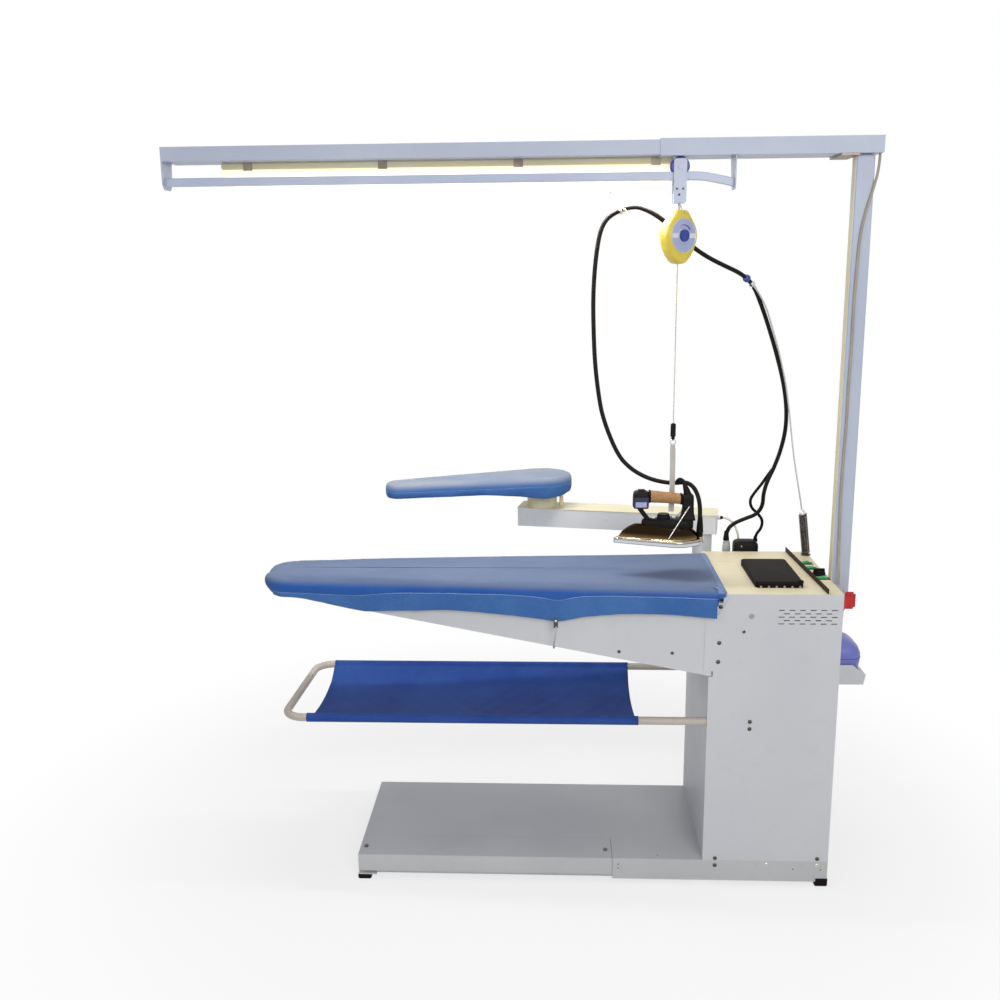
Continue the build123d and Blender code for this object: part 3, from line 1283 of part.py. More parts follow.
hose_route = [(1092, 462, 893), (1092, 462, 920), (1111, 458, 944), (1145, 455, 960), (1180, 452, 974),
              (1197, 449, 1003), (1196, 446, 1038), (1205, 443, 1078), (1224, 438, 1124), (1240, 431, 1180),
              (1249, 421, 1243), (1245, 409, 1310), (1229, 393, 1384), (1202, 371, 1464), (1171, 347, 1544),
              (1141, 323, 1612), (1112, 301.5, 1667), (1076, 283, 1695), (1032, 262, 1714), (985, 242, 1735),
              (939, 224, 1762), (897, 211, 1797), (856, 201, 1833), (812, 192, 1861), (768, 187.3, 1875),
              (735, 185.5, 1862)]
upper_route = [(735, 185.5, 1862), (708.6, 184.06, 1851.6), (686, 182, 1822), (675, 180.8, 1772), (668, 180, 1705),
               (665, 180, 1630), (667, 180, 1550), (671, 180, 1468), (680, 179, 1388), (694, 177.5, 1309),
               (716, 174, 1256)]
lower_route = [(716, 174, 1256), (735.8, 170.85, 1208.3), (772, 166, 1170), (815, 160, 1146), (857, 154, 1135),
               (893, 146, 1133), (922, 131, 1140), (943, 116, 1127), (956, 108, 1094), (959, 106, 1053),
               hose_end]
power_route = [(1183, 474, 886), (1183, 474, 904), (1200, 473, 925), (1203, 471, 952), (1186, 469, 974),
               (1165, 467, 992), (1160, 465, 1018), (1174, 461, 1042), (1192, 456, 1068), (1207, 450, 1096),
               (1225, 438, 1127)]
arm_cable_route = [(1079.9, 512.4, 950), (1093, 509.97, 950), (1107, 506, 946), (1119, 501, 935), (1128, 494, 917),
                   (1134, 487, 896), (1134, 487, 874)]
lamp_cable_route = [(1385, 119.5, 1992), (1385, 119.5, 1958), (1374, 119.9, 1905), (1358, 120, 1850),
                    (1347, 120.2, 1790), (1344, 119.9, 1700), (1342, 120.1, 1600), (1343, 119.9, 1500),
                    (1341, 120.1, 1400), (1342, 119.9, 1300), (1339, 120.1, 1200), (1338, 119.9, 1100),
                    (1340, 119.6, 1010), (1341, 116, 945), (1340, 103, 905), (1340, 98, 880), (1340, 98, 859)]


with BuildPart() as hose_main:
    with BuildLine() as hose_line:
        FilletPolyline(*on_bench(hose_route), radius=bend_radii("hose_main", hose_route))
    with BuildSketch(Plane(origin=hose_line.line @ 0, z_dir=hose_line.line % 0)):
        Circle(hose_diameter / 2)
    sweep()
hose_main.part.label = "hose_main"
export_step(hose_main.part, "parts/hose_main.step")
check_tube("hose_main", hose_main.part, pi * hose_diameter ** 2 / 4, hose_line.line)


def round_hose(share):
    """Plane square to the hose, at a share of its length."""
    return Plane(origin=hose_line.line @ share, z_dir=hose_line.line % share)


with BuildPart() as hose_support:
    spring_foot = Vector(*support_foot, cabinet_top_height)
    foot_point, spring_top = on_bench([tuple(spring_foot), support_path[0]])
    spring_axis = spring_top - foot_point
    coil_count = 17
    coil_pitch = spring_axis.length / coil_count
    spring_plane = Plane(origin=foot_point, z_dir=spring_axis)
    with BuildSketch(spring_plane.offset(4)):
        Circle(support_coil / 2 - support_wire)
        Circle(support_coil / 2 - 2 * support_wire, mode=Mode.SUBTRACT)
    extrude(amount=spring_axis.length - 6)
    for turn in range(coil_count):
        with BuildSketch(spring_plane.offset(4 + turn * coil_pitch)):
            Circle(support_coil / 2)
            Circle(support_coil / 2 - support_wire - 1, mode=Mode.SUBTRACT)
        extrude(amount=support_wire)
    with BuildSketch(level(cabinet_top_height)):
        with Locations(support_foot):
            Circle(support_coil / 2 + 1)
    extrude(amount=6)
    with BuildLine() as rod_line:
        FilletPolyline(*on_bench(support_path), radius=bend_radii("support rod", support_path))
    with BuildSketch(Plane(origin=rod_line.line @ 0, z_dir=rod_line.line % 0)):
        Circle(support_rod_diameter / 2)
    sweep()
    with BuildSketch(Plane(origin=rod_line.line @ 0, z_dir=rod_line.line % 0)):
        Circle(support_coil / 2 - 3)
    extrude(amount=6, both=True)
    with BuildSketch(round_hose(ring_share)):
        Circle(hose_diameter / 2 + 5)
        Circle(hose_diameter / 2 + 0.5, mode=Mode.SUBTRACT)
    extrude(amount=2.5, both=True)
    with BuildSketch(round_hose(ball_share)):
        Circle(hose_diameter / 2 + 5)
        Circle(hose_diameter / 2 + 0.6, mode=Mode.SUBTRACT)
    extrude(amount=7, both=True)
hose_support.part.label = "hose_support"
export_step(hose_support.part, "parts/hose_support.step")

# a strap from the beam, behind the lamp, carries the hose at the top of its loop
hanger_route = [(706, 229, 2006), (706, 229.5, 1930), (716, 214, 1895), (734.2, 190, 1871)]
with BuildPart(bench) as hose_hanger:
    hanger_x = hanger_route[0][0]
    block((hanger_x - 8, hanger_x + 8), (extension_y[1], hanger_route[0][1] + 3),
          (gantry_height - 36, gantry_height - 20))
    with BuildLine() as hanger_line:
        FilletPolyline(*on_bench(hanger_route), radius=bend_radii("hanger", hanger_route))
    with BuildSketch(Plane(origin=hanger_line.line @ 0, z_dir=hanger_line.line % 0)):
        Circle(2)
    sweep()
    with BuildSketch(round_hose(1)):
        Circle(hose_diameter / 2 + 4)
        Circle(hose_diameter / 2 + 0.5, mode=Mode.SUBTRACT)
    extrude(amount=3, both=True)
hose_hanger.part.label = "hose_hanger"
export_step(hose_hanger.part, "parts/hose_hanger.step")

# steam connector and junction box on the cabinet's rear wall
with BuildPart(bench) as rear_connectors:
    gland_x, gland_y, gland_top = hose_route[0]
    lead_x, lead_y, lead_top = power_route[0]
    block((gland_x - 12, gland_x + 12), (base_depth, base_depth + 10),
          (cabinet_top_height - 40, cabinet_top_height + 20))
    with Locations((gland_x, gland_y, cabinet_top_height - 30)):
        Cylinder(11, gland_top - cabinet_top_height + 30, align=(Align.CENTER, Align.CENTER, Align.MIN))
    junction_top = cabinet_top_height + 14
    block((lead_x - 65, lead_x + 8), (base_depth, base_depth + 54), (junction_top - 74, junction_top))
    with Locations((lead_x, lead_y, junction_top - 2)):
        Cylinder(7, lead_top - junction_top + 2, align=(Align.CENTER, Align.CENTER, Align.MIN))
rear_connectors.part.label = "rear_connectors"
export_step(rear_connectors.part, "parts/rear_connectors.step")

with BuildPart() as hose_upper:
    with BuildLine() as upper_line:
        FilletPolyline(*on_bench(upper_route), radius=bend_radii("hose_upper", upper_route))
    with BuildSketch(Plane(origin=upper_line.line @ 0, z_dir=upper_line.line % 0)):
        Circle(hose_diameter / 2)
    sweep()
hose_upper.part.label = "hose_upper"
export_step(hose_upper.part, "parts/hose_upper.step")
check_tube("hose_upper", hose_upper.part, pi * hose_diameter ** 2 / 4, upper_line.line)

with BuildPart() as hose_lower:
    with BuildLine() as lower_line:
        FilletPolyline(*on_bench(lower_route), radius=bend_radii("hose_lower", lower_route))
    with BuildSketch(Plane(origin=lower_line.line @ 0, z_dir=lower_line.line % 0)):
        Circle(hose_diameter / 2)
    sweep()
hose_lower.part.label = "hose_lower"
export_step(hose_lower.part, "parts/hose_lower.step")
check_tube("hose_lower", hose_lower.part, pi * hose_diameter ** 2 / 4, lower_line.line)

with BuildPart() as power_lead:
    with BuildLine() as power_line:
        FilletPolyline(*on_bench(power_route), radius=bend_radii("power_lead", power_route))
    with BuildSketch(Plane(origin=power_line.line @ 0, z_dir=power_line.line % 0)):
        Circle(power_lead_diameter / 2)
    sweep()
power_lead.part.label = "power_lead"
export_step(power_lead.part, "parts/power_lead.step")
check_tube("power_lead", power_lead.part, pi * power_lead_diameter ** 2 / 4, power_line.line)

with BuildPart() as arm_cable:
    with BuildLine() as arm_line:
        FilletPolyline(*on_bench(arm_cable_route), radius=bend_radii("arm_cable", arm_cable_route))
    with BuildSketch(Plane(origin=arm_line.line @ 0, z_dir=arm_line.line % 0)):
        Circle(arm_cable_diameter / 2)
    sweep()
arm_cable.part.label = "arm_cable"
export_step(arm_cable.part, "parts/arm_cable.step")
check_tube("arm_cable", arm_cable.part, pi * arm_cable_diameter ** 2 / 4, arm_line.line)

with BuildPart() as lamp_cable:
    with BuildLine() as lamp_line:
        FilletPolyline(*on_bench(lamp_cable_route), radius=bend_radii("lamp_cable", lamp_cable_route))
    with BuildSketch(Plane(origin=lamp_line.line @ 0, z_dir=lamp_line.line % 0)):
        Circle(lamp_cable_diameter / 2)
    sweep()
lamp_cable.part.label = "lamp_cable"
export_step(lamp_cable.part, "parts/lamp_cable.step")
check_tube("lamp_cable", lamp_cable.part, pi * lamp_cable_diameter ** 2 / 4, lamp_line.line)
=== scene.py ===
"""Looks of a free-standing ironing unit: a padded board, a sleeve board on a swinging arm, a lamp
gantry and an iron hung from a rail.  Metres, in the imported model's own frame.

Places are measured as on the machine: x from the base's left end, y from its front, z from the floor.
"""
from math import atan2, cos, hypot, pi, radians, sin

import bmesh
import bpy
import numpy as np
from mathutils import Matrix, Vector


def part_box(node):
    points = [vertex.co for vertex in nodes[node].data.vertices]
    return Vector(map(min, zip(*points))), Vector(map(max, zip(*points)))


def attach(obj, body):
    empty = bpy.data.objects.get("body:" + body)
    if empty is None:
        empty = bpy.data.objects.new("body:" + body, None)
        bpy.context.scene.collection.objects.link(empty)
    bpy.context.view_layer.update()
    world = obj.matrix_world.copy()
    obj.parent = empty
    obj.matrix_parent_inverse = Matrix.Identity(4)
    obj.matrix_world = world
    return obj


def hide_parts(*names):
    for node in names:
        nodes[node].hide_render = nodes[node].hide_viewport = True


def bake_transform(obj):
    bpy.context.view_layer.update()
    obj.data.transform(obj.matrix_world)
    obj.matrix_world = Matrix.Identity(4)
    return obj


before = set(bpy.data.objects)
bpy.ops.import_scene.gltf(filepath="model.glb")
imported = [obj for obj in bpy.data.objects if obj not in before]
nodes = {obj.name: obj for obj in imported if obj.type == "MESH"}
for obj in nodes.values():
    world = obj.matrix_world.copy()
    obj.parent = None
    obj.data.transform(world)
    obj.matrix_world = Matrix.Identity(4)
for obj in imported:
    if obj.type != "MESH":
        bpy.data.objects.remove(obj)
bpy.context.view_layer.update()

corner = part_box("base_tray")[0]          # the base's left front corner, on the floor side


def at(x, y, z):
    """A place on the machine, given in millimetres, as a point of the frame in metres."""
    return Vector((corner.x + x / 1000, corner.y + y / 1000, z / 1000))


# ---------------------------------------------------------------- camera, light and floor
camera_place = (546.5, -2737.8, 1714.8)
camera_yaw = 2.702                       # degrees to the left
camera_pitch = 12.297                    # degrees down
camera_roll = -0.547
camera_lens = 38.22

camera_data = bpy.data.cameras.new("camera")
camera_data.lens = camera_lens
camera_data.sensor_width = 36
camera = bpy.data.objects.new("camera", camera_data)
turn = (Matrix.Rotation(radians(camera_yaw), 4, "Z") @ Matrix.Rotation(radians(90 - camera_pitch), 4, "X")
        @ Matrix.Rotation(radians(camera_roll), 4, "Z"))
camera.matrix_world = Matrix.Translation(at(*camera_place)) @ turn
bpy.context.scene.collection.objects.link(camera)
bpy.context.scene.camera = camera
bpy.context.scene.view_settings.view_transform = "Standard"


# ---------------------------------------------------------------- shader arithmetic
class Value:
    """A shader socket that takes part in sums; each operator adds its Math node."""

    def __init__(self, finish, socket):
        self.finish = finish
        self.socket = socket

    def math(self, operation, *others, swap=False):
        terms = [self, *others]
        if swap:
            terms.reverse()
        node = self.finish.node("ShaderNodeMath", {"operation": operation}, dict(enumerate(terms)))
        return Value(self.finish, node.outputs[0])

    def __add__(self, other):
        return self.math("ADD", other)

    def __sub__(self, other):
        return self.math("SUBTRACT", other)

    def __rsub__(self, other):
        return self.math("SUBTRACT", other, swap=True)

    def __mul__(self, other):
        return self.math("MULTIPLY", other)

    def __truediv__(self, other):
        return self.math("DIVIDE", other)

    __radd__ = __add__
    __rmul__ = __mul__

    def power(self, exponent):
        return self.math("POWER", exponent)

    def sine(self):
        return self.math("SINE")

    def size(self):
        return self.math("ABSOLUTE")

    def higher(self, other):
        return self.math("MAXIMUM", other)

    def ease(self, low, high):
        """0 below low, 1 above high, smooth between."""
        node = self.finish.node("ShaderNodeMapRange", {"interpolation_type": "SMOOTHSTEP"},
                                {"Value": self, "From Min": low, "From Max": high})
        return Value(self.finish, node.outputs[0])


class Finish:
    """One material, with the nodes that its look needs."""

    def __init__(self, name):
        self.material = bpy.data.materials.new(name)
        self.material.use_nodes = True
        self.tree = self.material.node_tree
        self.shader = self.tree.nodes["Principled BSDF"]

    def node(self, kind, settings, sockets):
        """Add a node: its settings first, then the value or link of each named socket."""
        made = self.tree.nodes.new(kind)
        for key, value in settings.items():
            setattr(made, key, value)
        for key, value in sockets.items():
            self.put(made.inputs[key], value)
        return made

    def put(self, socket, value):
        if isinstance(value, Value):
            self.tree.links.new(value.socket, socket)
        elif isinstance(value, bpy.types.NodeSocket):
            self.tree.links.new(value, socket)
        elif isinstance(value, tuple) and len(value) == 3 and socket.type == "RGBA":
            socket.default_value = (*value, 1)
        else:
            socket.default_value = value

    def place(self, scale=(1, 1, 1), centre=(0, 0, 0)):
        """Coordinates of the surface point, centred and scaled."""
        coordinates = self.node("ShaderNodeTexCoord", {}, {}).outputs["Object"]
        moved = self.node("ShaderNodeMapping", {"vector_type": "TEXTURE"},
                          {"Vector": coordinates, "Location": centre})
        return self.node("ShaderNodeMapping", {}, {"Vector": moved.outputs[0], "Scale": scale}).outputs[0]

    def part(self, vector, axis):
        """One coordinate of a vector: 0, 1 or 2."""
        return Value(self, self.node("ShaderNodeSeparateXYZ", {}, {"Vector": vector}).outputs[axis])

    def noise(self, vector, scale, detail=3.0, roughness=0.55):
        made = self.node("ShaderNodeTexNoise", {},
                         {"Vector": vector, "Scale": scale, "Detail": detail, "Roughness": roughness})
        return Value(self, made.outputs["Fac"])

    def cells(self, vector, scale):
        made = self.node("ShaderNodeTexVoronoi", {"feature": "F1"}, {"Vector": vector, "Scale": scale})
        return Value(self, made.outputs["Distance"])

    def mix(self, factor, first, second):
        """Colour that goes from first to second."""
        made = self.node("ShaderNodeMix", {"data_type": "RGBA", "blend_type": "MIX"}, {})
        self.put(made.inputs[0], factor)
        self.put(made.inputs[6], first)
        self.put(made.inputs[7], second)
        return made.outputs[2]

    def bump(self, height, distance, strength):
        sockets = {"Height": height, "Distance": distance, "Strength": strength}
        return self.node("ShaderNodeBump", {}, sockets).outputs[0]

    def dress(self, **sockets):
        """Set the main shader's sockets; underscores stand for spaces."""
        for key, value in sockets.items():
            self.put(self.shader.inputs[key.replace("_", " ")], value)
        return self.material


def rgb(code):
    """Linear colour of a six-digit hexadecimal one."""
    shares = [int(code[place:place + 2], 16) / 255 for place in (0, 2, 4)]
    return tuple(share / 12.92 if share <= 0.04045 else ((share + 0.055) / 1.055) ** 2.4 for share in shares)


# ---------------------------------------------------------------- finishes
def powder_coat(name, code, shade, roughness=0.42, grime=0.06):
    """Sprayed sheet metal: faint orange peel, soft uneven tone, a little dirt."""
    coat = Finish(name)
    where = coat.place()
    cloud = coat.noise(where, 2.6, 4)
    dirt = coat.noise(where, 23, 5, 0.62).ease(0.52, 0.78) * grime
    tone = coat.mix(cloud.ease(0.3, 0.7), rgb(code), rgb(shade))
    colour = coat.mix(dirt, tone, rgb("8F8A7E"))
    peel = coat.noise(where, 620, 2, 0.5)
    return coat.dress(Base_Color=colour, Roughness=roughness + 0.1 * cloud, Specular_IOR_Level=0.3,
                      Normal=coat.bump(peel, 0.00025, 0.35))


def pedal_deck(name, code, shade):
    """The base's lid: sprayed sheet with scuffs from shoes."""
    deck = Finish(name)
    where = deck.place()
    cloud = deck.noise(where, 3.2, 4)
    scuffs = deck.noise(deck.place((9, 90, 9)), 3, 4, 0.6).ease(0.6, 0.8) * 0.15
    tone = deck.mix(cloud.ease(0.3, 0.7), rgb(code), rgb(shade))
    peel = deck.noise(where, 540, 2, 0.5)
    return deck.dress(Base_Color=deck.mix(scuffs, tone, rgb("8D8A84")), Roughness=0.42 + 0.12 * cloud,
                      Specular_IOR_Level=0.3, Normal=deck.bump(peel, 0.0003, 0.4))


def worn_metal(name, code, roughness, streak=(4, 4, 160), dark="5E6164"):
    """Bare metal with fine streaks along one way and dull patches."""
    metal = Finish(name)
    lines = metal.noise(metal.place(streak), 12, 3, 0.6)
    patches = metal.noise(metal.place(), 18, 4).ease(0.45, 0.75)
    return metal.dress(Base_Color=metal.mix(patches * 0.35, rgb(code), rgb(dark)), Metallic=1.0,
                       Roughness=roughness + 0.12 * lines + 0.08 * patches,
                       Normal=metal.bump(lines, 0.0002, 0.2))


def polished_metal(name, code, roughness=0.08):
    """Plated metal with a few dull specks."""
    metal = Finish(name)
    specks = metal.noise(metal.place(), 90, 4, 0.6).ease(0.62, 0.8)
    haze = metal.noise(metal.place(), 7, 3)
    return metal.dress(Base_Color=metal.mix(specks * 0.5, rgb(code), rgb("77746E")), Metallic=1.0,
                       Roughness=roughness + 0.1 * specks + 0.06 * haze)


def plastic(name, code, shade, roughness=0.4, grain=900, depth=0.0002, **extra):
    """Moulded plastic or rubber with a fine grain."""
    moulded = Finish(name)
    where = moulded.place()
    cloud = moulded.noise(where, 14, 3)
    texture = moulded.noise(where, grain, 2)
    return moulded.dress(Base_Color=moulded.mix(cloud.ease(0.3, 0.7), rgb(code), rgb(shade)),
                         Roughness=roughness + 0.12 * cloud, Normal=moulded.bump(texture, depth, 0.4), **extra)


def cork():
    """Pressed cork: warm grains, dark pits and darker patches stretched along x."""
    grip = Finish("cork")
    where = grip.place()
    grains = grip.cells(where, 420)
    pits = grip.noise(where, 380, 4, 0.7).ease(0.56, 0.72)
    smoke = grip.noise(grip.place((1, 4, 4)), 22, 3).ease(0.35, 0.75)
    tone = grip.mix(grains.ease(0.1, 0.7), rgb("C09263"), rgb("9E7448"))
    tone = grip.mix(smoke * 0.45, tone, rgb("7C5330"))
    return grip.dress(Base_Color=grip.mix(pits, tone, rgb("5B3A20")), Roughness=0.62,
                      Normal=grip.bump(grains - pits, 0.0006, 0.5))


def woven(name, code, shade, thread, lint, blotch):
    """Cotton cloth: two sets of threads, uneven dye in blotches, and flecks of a paler lint."""
    cloth = Finish(name)
    where = cloth.place()
    along = (cloth.part(where, 0) * thread).sine()
    across = (cloth.part(where, 1) * thread).sine()
    upright = (cloth.part(where, 2) * thread).sine()
    weave = along * across + along * upright
    dye = cloth.noise(where, blotch, 4, 0.6)
    slub = cloth.noise(where, 160, 3, 0.6)
    tone = cloth.mix(dye.ease(0.32, 0.7), rgb(code), rgb(shade))
    tone = cloth.mix(slub.ease(0.5, 0.8) * 0.1, tone, rgb(lint))
    fold = cloth.noise(where, 16, 3)
    height = weave * 0.12 + slub * 0.5 + fold * 1.5
    return cloth.dress(Base_Color=tone, Roughness=0.86, Sheen_Weight=0.1, Sheen_Roughness=0.45,
                       Specular_IOR_Level=0.08, Normal=cloth.bump(height, 0.0009, 0.5))


def brushed(name, code, shade):
    """Plated wire and fittings that have dulled."""
    return worn_metal(name, code, 0.28, (30, 30, 30), shade)


def glow_cover():
    """The lamp's moulded cover, lit from inside, dimmer where it turns up to the housing."""
    cover = Finish("lamp_cover")
    height = cover.part(cover.place(), 2)
    rim = height.ease(1.955, 1.972)
    ripple = cover.noise(cover.place((1, 200, 200)), 4, 2)
    ends = (cover.part(cover.place(centre=(at(268, 0, 0).x, 0, 0)), 0).size()).ease(0.42, 0.6)
    colour = cover.mix(rim.higher(ends * 0.8), rgb("FFFDF6"), rgb("F0E4C4"))
    return cover.dress(Base_Color=colour, Roughness=0.35 + 0.1 * ripple, Emission_Color=colour,
                       Emission_Strength=0.75, Transmission_Weight=0.0)


def painted_reflection_shell_finish():
    """Plated steel, bright at the lip; above it a painted golden highlight, and painted dark reflection on top."""
    metal = Finish("iron_shell_painted_reflection")
    height = metal.part(metal.place(), 2)
    haze = metal.noise(metal.place(), 30, 3)
    level = height + (haze - 0.5) * 0.003
    # painted reflection: from the lip's bright steel up through a painted golden highlight to painted dark
    # reflection on top
    painted_gold_highlight = metal.mix(level.ease(0.988, 0.994), rgb("A9A08E"), rgb("6E5631"))
    tone = metal.mix(level.ease(0.991, 1.004), painted_gold_highlight, rgb("291F15"))
    return metal.dress(Base_Color=tone, Metallic=1.0, Roughness=0.1 + 0.08 * haze)


def hose_skin():
    """Dark insulated hose: fine braid under a rubbed rubber coat."""
    skin = Finish("hose")
    where = skin.place()
    braid = skin.noise(where, 850, 2, 0.6)
    rubbed = skin.noise(where, 28, 4, 0.6).ease(0.5, 0.75)
    colour = skin.mix(rubbed * 0.4, rgb("130E0B"), rgb("33271F"))
    return skin.dress(Base_Color=colour, Roughness=0.5 - 0.12 * rubbed, Specular_IOR_Level=0.14,
                      Sheen_Weight=0.03, Normal=skin.bump(braid, 0.0005, 0.6))


def board_cloth(sheen_from, pale, dim, full, deep):
    """The boards' cotton: full blue on the rolled rim and below; on top a paler, greyer tone that is painted sheen
    of the light on the top face.
    """
    cloth = Finish(f"board_cloth_{sheen_from}")
    where = cloth.place()
    height = cloth.part(where, 2)
    weave = (cloth.part(where, 0) * 2200).sine() * (cloth.part(where, 1) * 2200).sine()
    dye = cloth.noise(where, 7, 4, 0.6)
    lint = cloth.noise(where, 190, 3, 0.6)
    patch = cloth.noise(cloth.place((1, 2, 1)), 3.4, 4, 0.55)
    # painted sheen: above the given height the top turns to the paler, greyer tone that stands in for light on the
    # top face
    painted_top_sheen = (height + (patch - 0.5) * 0.008).ease(sheen_from / 1000 - 0.019, sheen_from / 1000 + 0.001)
    blue = cloth.mix(dye.ease(0.3, 0.7), rgb(full), rgb(deep))
    sheen_tone = cloth.mix(patch.ease(0.3, 0.7), rgb(pale), rgb(dim))
    tone = cloth.mix(painted_top_sheen, blue, sheen_tone)
    tone = cloth.mix(lint.ease(0.55, 0.8) * 0.05, tone, rgb("C3CCDD"))
    crease = cloth.noise(cloth.place((1, 1, 3)), 26, 3)
    height_map = weave * 0.1 + lint * 0.4 + crease * 0.9
    return cloth.dress(Base_Color=tone, Roughness=0.84, Sheen_Weight=0.1, Sheen_Roughness=0.5,
                       Specular_IOR_Level=0.08, Normal=cloth.bump(height_map, 0.0008, 0.45))


sheet_white = powder_coat("sheet_white", "CFD0D3", "C9CBD0")
sheet_warm = powder_coat("sheet_warm", "E6DBBC", "DFD2AF", 0.4, 0.08)
base_deck = pedal_deck("base_deck", "C6C7C8", "BEC0C1")
gantry_paint = powder_coat("gantry_paint", "BEC5D6", "B5BDD0", 0.36, 0.06)
rail_paint = powder_coat("rail_paint", "C6CEE0", "BAC3DA", 0.3, 0.06)
arm_paint = powder_coat("arm_paint", "E3E4E4", "DCDEE0", 0.4, 0.06)
lid_paint = powder_coat("lid_paint", "E4DCBB", "DDD4B2", 0.4, 0.06)
lamp_paint = powder_coat("lamp_paint", "E8E0C4", "DDD3B2", 0.38, 0.08)
tube_paint = powder_coat("tube_paint", "C2B9AE", "B6ADA2", 0.34, 0.06)
zinc = worn_metal("zinc_plate", "B9BCBF", 0.34)
bright_steel = brushed("bright_steel", "CFCFCD", "77736A")
dark_steel = brushed("dark_steel", "55504A", "2E2A26")
chrome = polished_metal("chrome", "D9D4C6", 0.05)
sole_metal = polished_metal("sole_metal", "C9CCD2", 0.13)
cast_metal = worn_metal("cast_metal", "83868A", 0.5, (20, 20, 20))
brass = worn_metal("brass_fitting", "B8924E", 0.3, (20, 20, 20), "6A5226")
black_moulding = plastic("black_moulding", "100E0D", "171413", 0.45, Specular_IOR_Level=0.12)
shell_with_painted_reflection = painted_reflection_shell_finish()
black_rubber = plastic("black_rubber", "0E0B09", "161210", 0.6, 500, 0.0004, Specular_IOR_Level=0.1)
brown_rubber = plastic("brown_rubber", "2A1F1A", "352821", 0.6, 500, 0.0004, Specular_IOR_Level=0.2)
grey_lead = plastic("grey_lead", "A8A092", "9B9385", 0.45)
grey_moulding = plastic("grey_moulding", "A9ABAC", "9B9D9F", 0.42)
green_moulding = plastic("green_moulding", "1FA55C", "178C4C", 0.22, Emission_Color=rgb("1FAE5A"),
                         Emission_Strength=0.08)
red_moulding = plastic("red_moulding", "C4161C", "A81217", 0.28)
blue_moulding = plastic("blue_moulding", "2F45A0", "263A8C", 0.3)
yellow_moulding = plastic("yellow_moulding", "E2CE57", "D5BC3C", 0.36, 700, 0.0003)
tank_moulding = plastic("tank_moulding", "787DC8", "6C71BE", 0.32, 300, 0.0003, Subsurface_Weight=0.15,
                        Subsurface_Scale=0.01)
strap_moulding = plastic("strap_moulding", "CBC6C1", "BDB7B2", 0.3)
cream_lead = plastic("cream_lead", "E4DFD2", "D5CFC0", 0.4)
foam = plastic("foam", "B9B29C", "A29B85", 0.9, 300, 0.001)
strap_metal = worn_metal("strap_metal", "8D8276", 0.42, (20, 20, 20), "5F564B")
cable_cover = plastic("cable_cover", "CFC8B6", "C2BAA6", 0.4)
label_blue = plastic("label_blue", "AEB6DA", "A2ABD3", 0.3)
label_pale = plastic("label_pale", "E4E6E4", "D9DCDB", 0.3)
ink_blue = plastic("ink_blue", "2A3288", "242B7A", 0.35)
ink_dark = plastic("ink_dark", "1B2148", "161B3C", 0.35)
diffuser_glow = glow_cover()
hose_coat = hose_skin()
cork_grip = cork()
# the first two colours are the painted sheen of the top, the last two the cloth's full blue
board_cotton = board_cloth(874, "6D7B9A", "637495", "2C5AA6", "3560A8")
sleeve_cotton = board_cloth(1063, "949BA9", "828FA8", "4772B4", "527CBA")
skirt_cotton = woven("skirt_cotton", "4069A8", "4A74B0", 2200, "8FA5CC", 8)
band_cotton = woven("band_cotton", "6F84AE", "7A8FB8", 2200, "C3CCDD", 8)
tray_cotton = woven("tray_cotton", "2C4890", "34549C", 1800, "6F8AC4", 6)
piping_cotton = woven("piping_cotton", "6C8AC2", "7A96C8", 2600, "C3CCDD", 20)

finish_of = {
    sheet_white: "cabinet_front cabinet_wrap fan_housing tank_shelf board_trough",
    base_deck: "base_tray pedal_bar",
    sheet_warm: "cabinet_top",
    gantry_paint: "gantry_column gantry_beam beam_extension",
    rail_paint: "tool_rail trolley_frame",
    lamp_paint: "lamp_housing",
    arm_paint: "arm_box sleeve_tray post_bracket",
    lid_paint: "arm_lid",
    tube_paint: "tray_frame",
    zinc: "board_grid",
    cast_metal: "fan_motor",
    bright_steel: "cover_clips hose_support balancer_cable",
    dark_steel: "body_screws",
    sole_metal: "iron_sole",
    shell_with_painted_reflection: "iron_cover",
    brass: "boiler",
    black_moulding: "iron_body iron_dial iron_button iron_sling thermostat_knob fan_impeller",
    black_rubber: "rubber_feet iron_rest power_lead",
    grey_lead: "lamp_cable",
    grey_moulding: "rear_connectors isolator_box",
    green_moulding: "rocker_light rocker_suction rocker_boiler",
    red_moulding: "isolator_knob",
    blue_moulding: "balancer_knob trolley_wheel",
    yellow_moulding: "balancer_case",
    tank_moulding: "water_tank",
    cream_lead: "arm_cable hose_hanger",
    foam: "board_pad sleeve_pad",
    hose_coat: "hose_main hose_upper hose_lower",
    cork_grip: "iron_handle",
    board_cotton: "board_cover",
    sleeve_cotton: "sleeve_cover",
    tray_cotton: "tray_cloth",
    diffuser_glow: "lamp_diffuser",
}
for finish, names in finish_of.items():
    for name in names.split():
        nodes[name].data.materials.clear()
        nodes[name].data.materials.append(finish)


# ---------------------------------------------------------------- making shapes, in the machine's millimetres
def piece(name, body, finish, points, faces, smooth=True):
    """A finished mesh from points on the machine; it rides on the body, unless that is None."""
    mesh = bpy.data.meshes.new(name)
    mesh.from_pydata([at(*point) for point in points], [], faces)
    return settle(name, body, finish, mesh, smooth)


def settle(name, body, finish, mesh, smooth=True):
    """Tidy a mesh, face it outwards, and set it in the scene."""
    work = bmesh.new()
    work.from_mesh(mesh)
    bmesh.ops.remove_doubles(work, verts=work.verts, dist=0.000005)
    bmesh.ops.recalc_face_normals(work, faces=work.faces)
    for face in work.faces:
        face.smooth = smooth
    work.to_mesh(mesh)
    work.free()
    mesh.materials.clear()
    mesh.materials.append(finish)
    made = bpy.data.objects.new(name, mesh)
    bpy.context.scene.collection.objects.link(made)
    if body:
        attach(made, body)
    return made


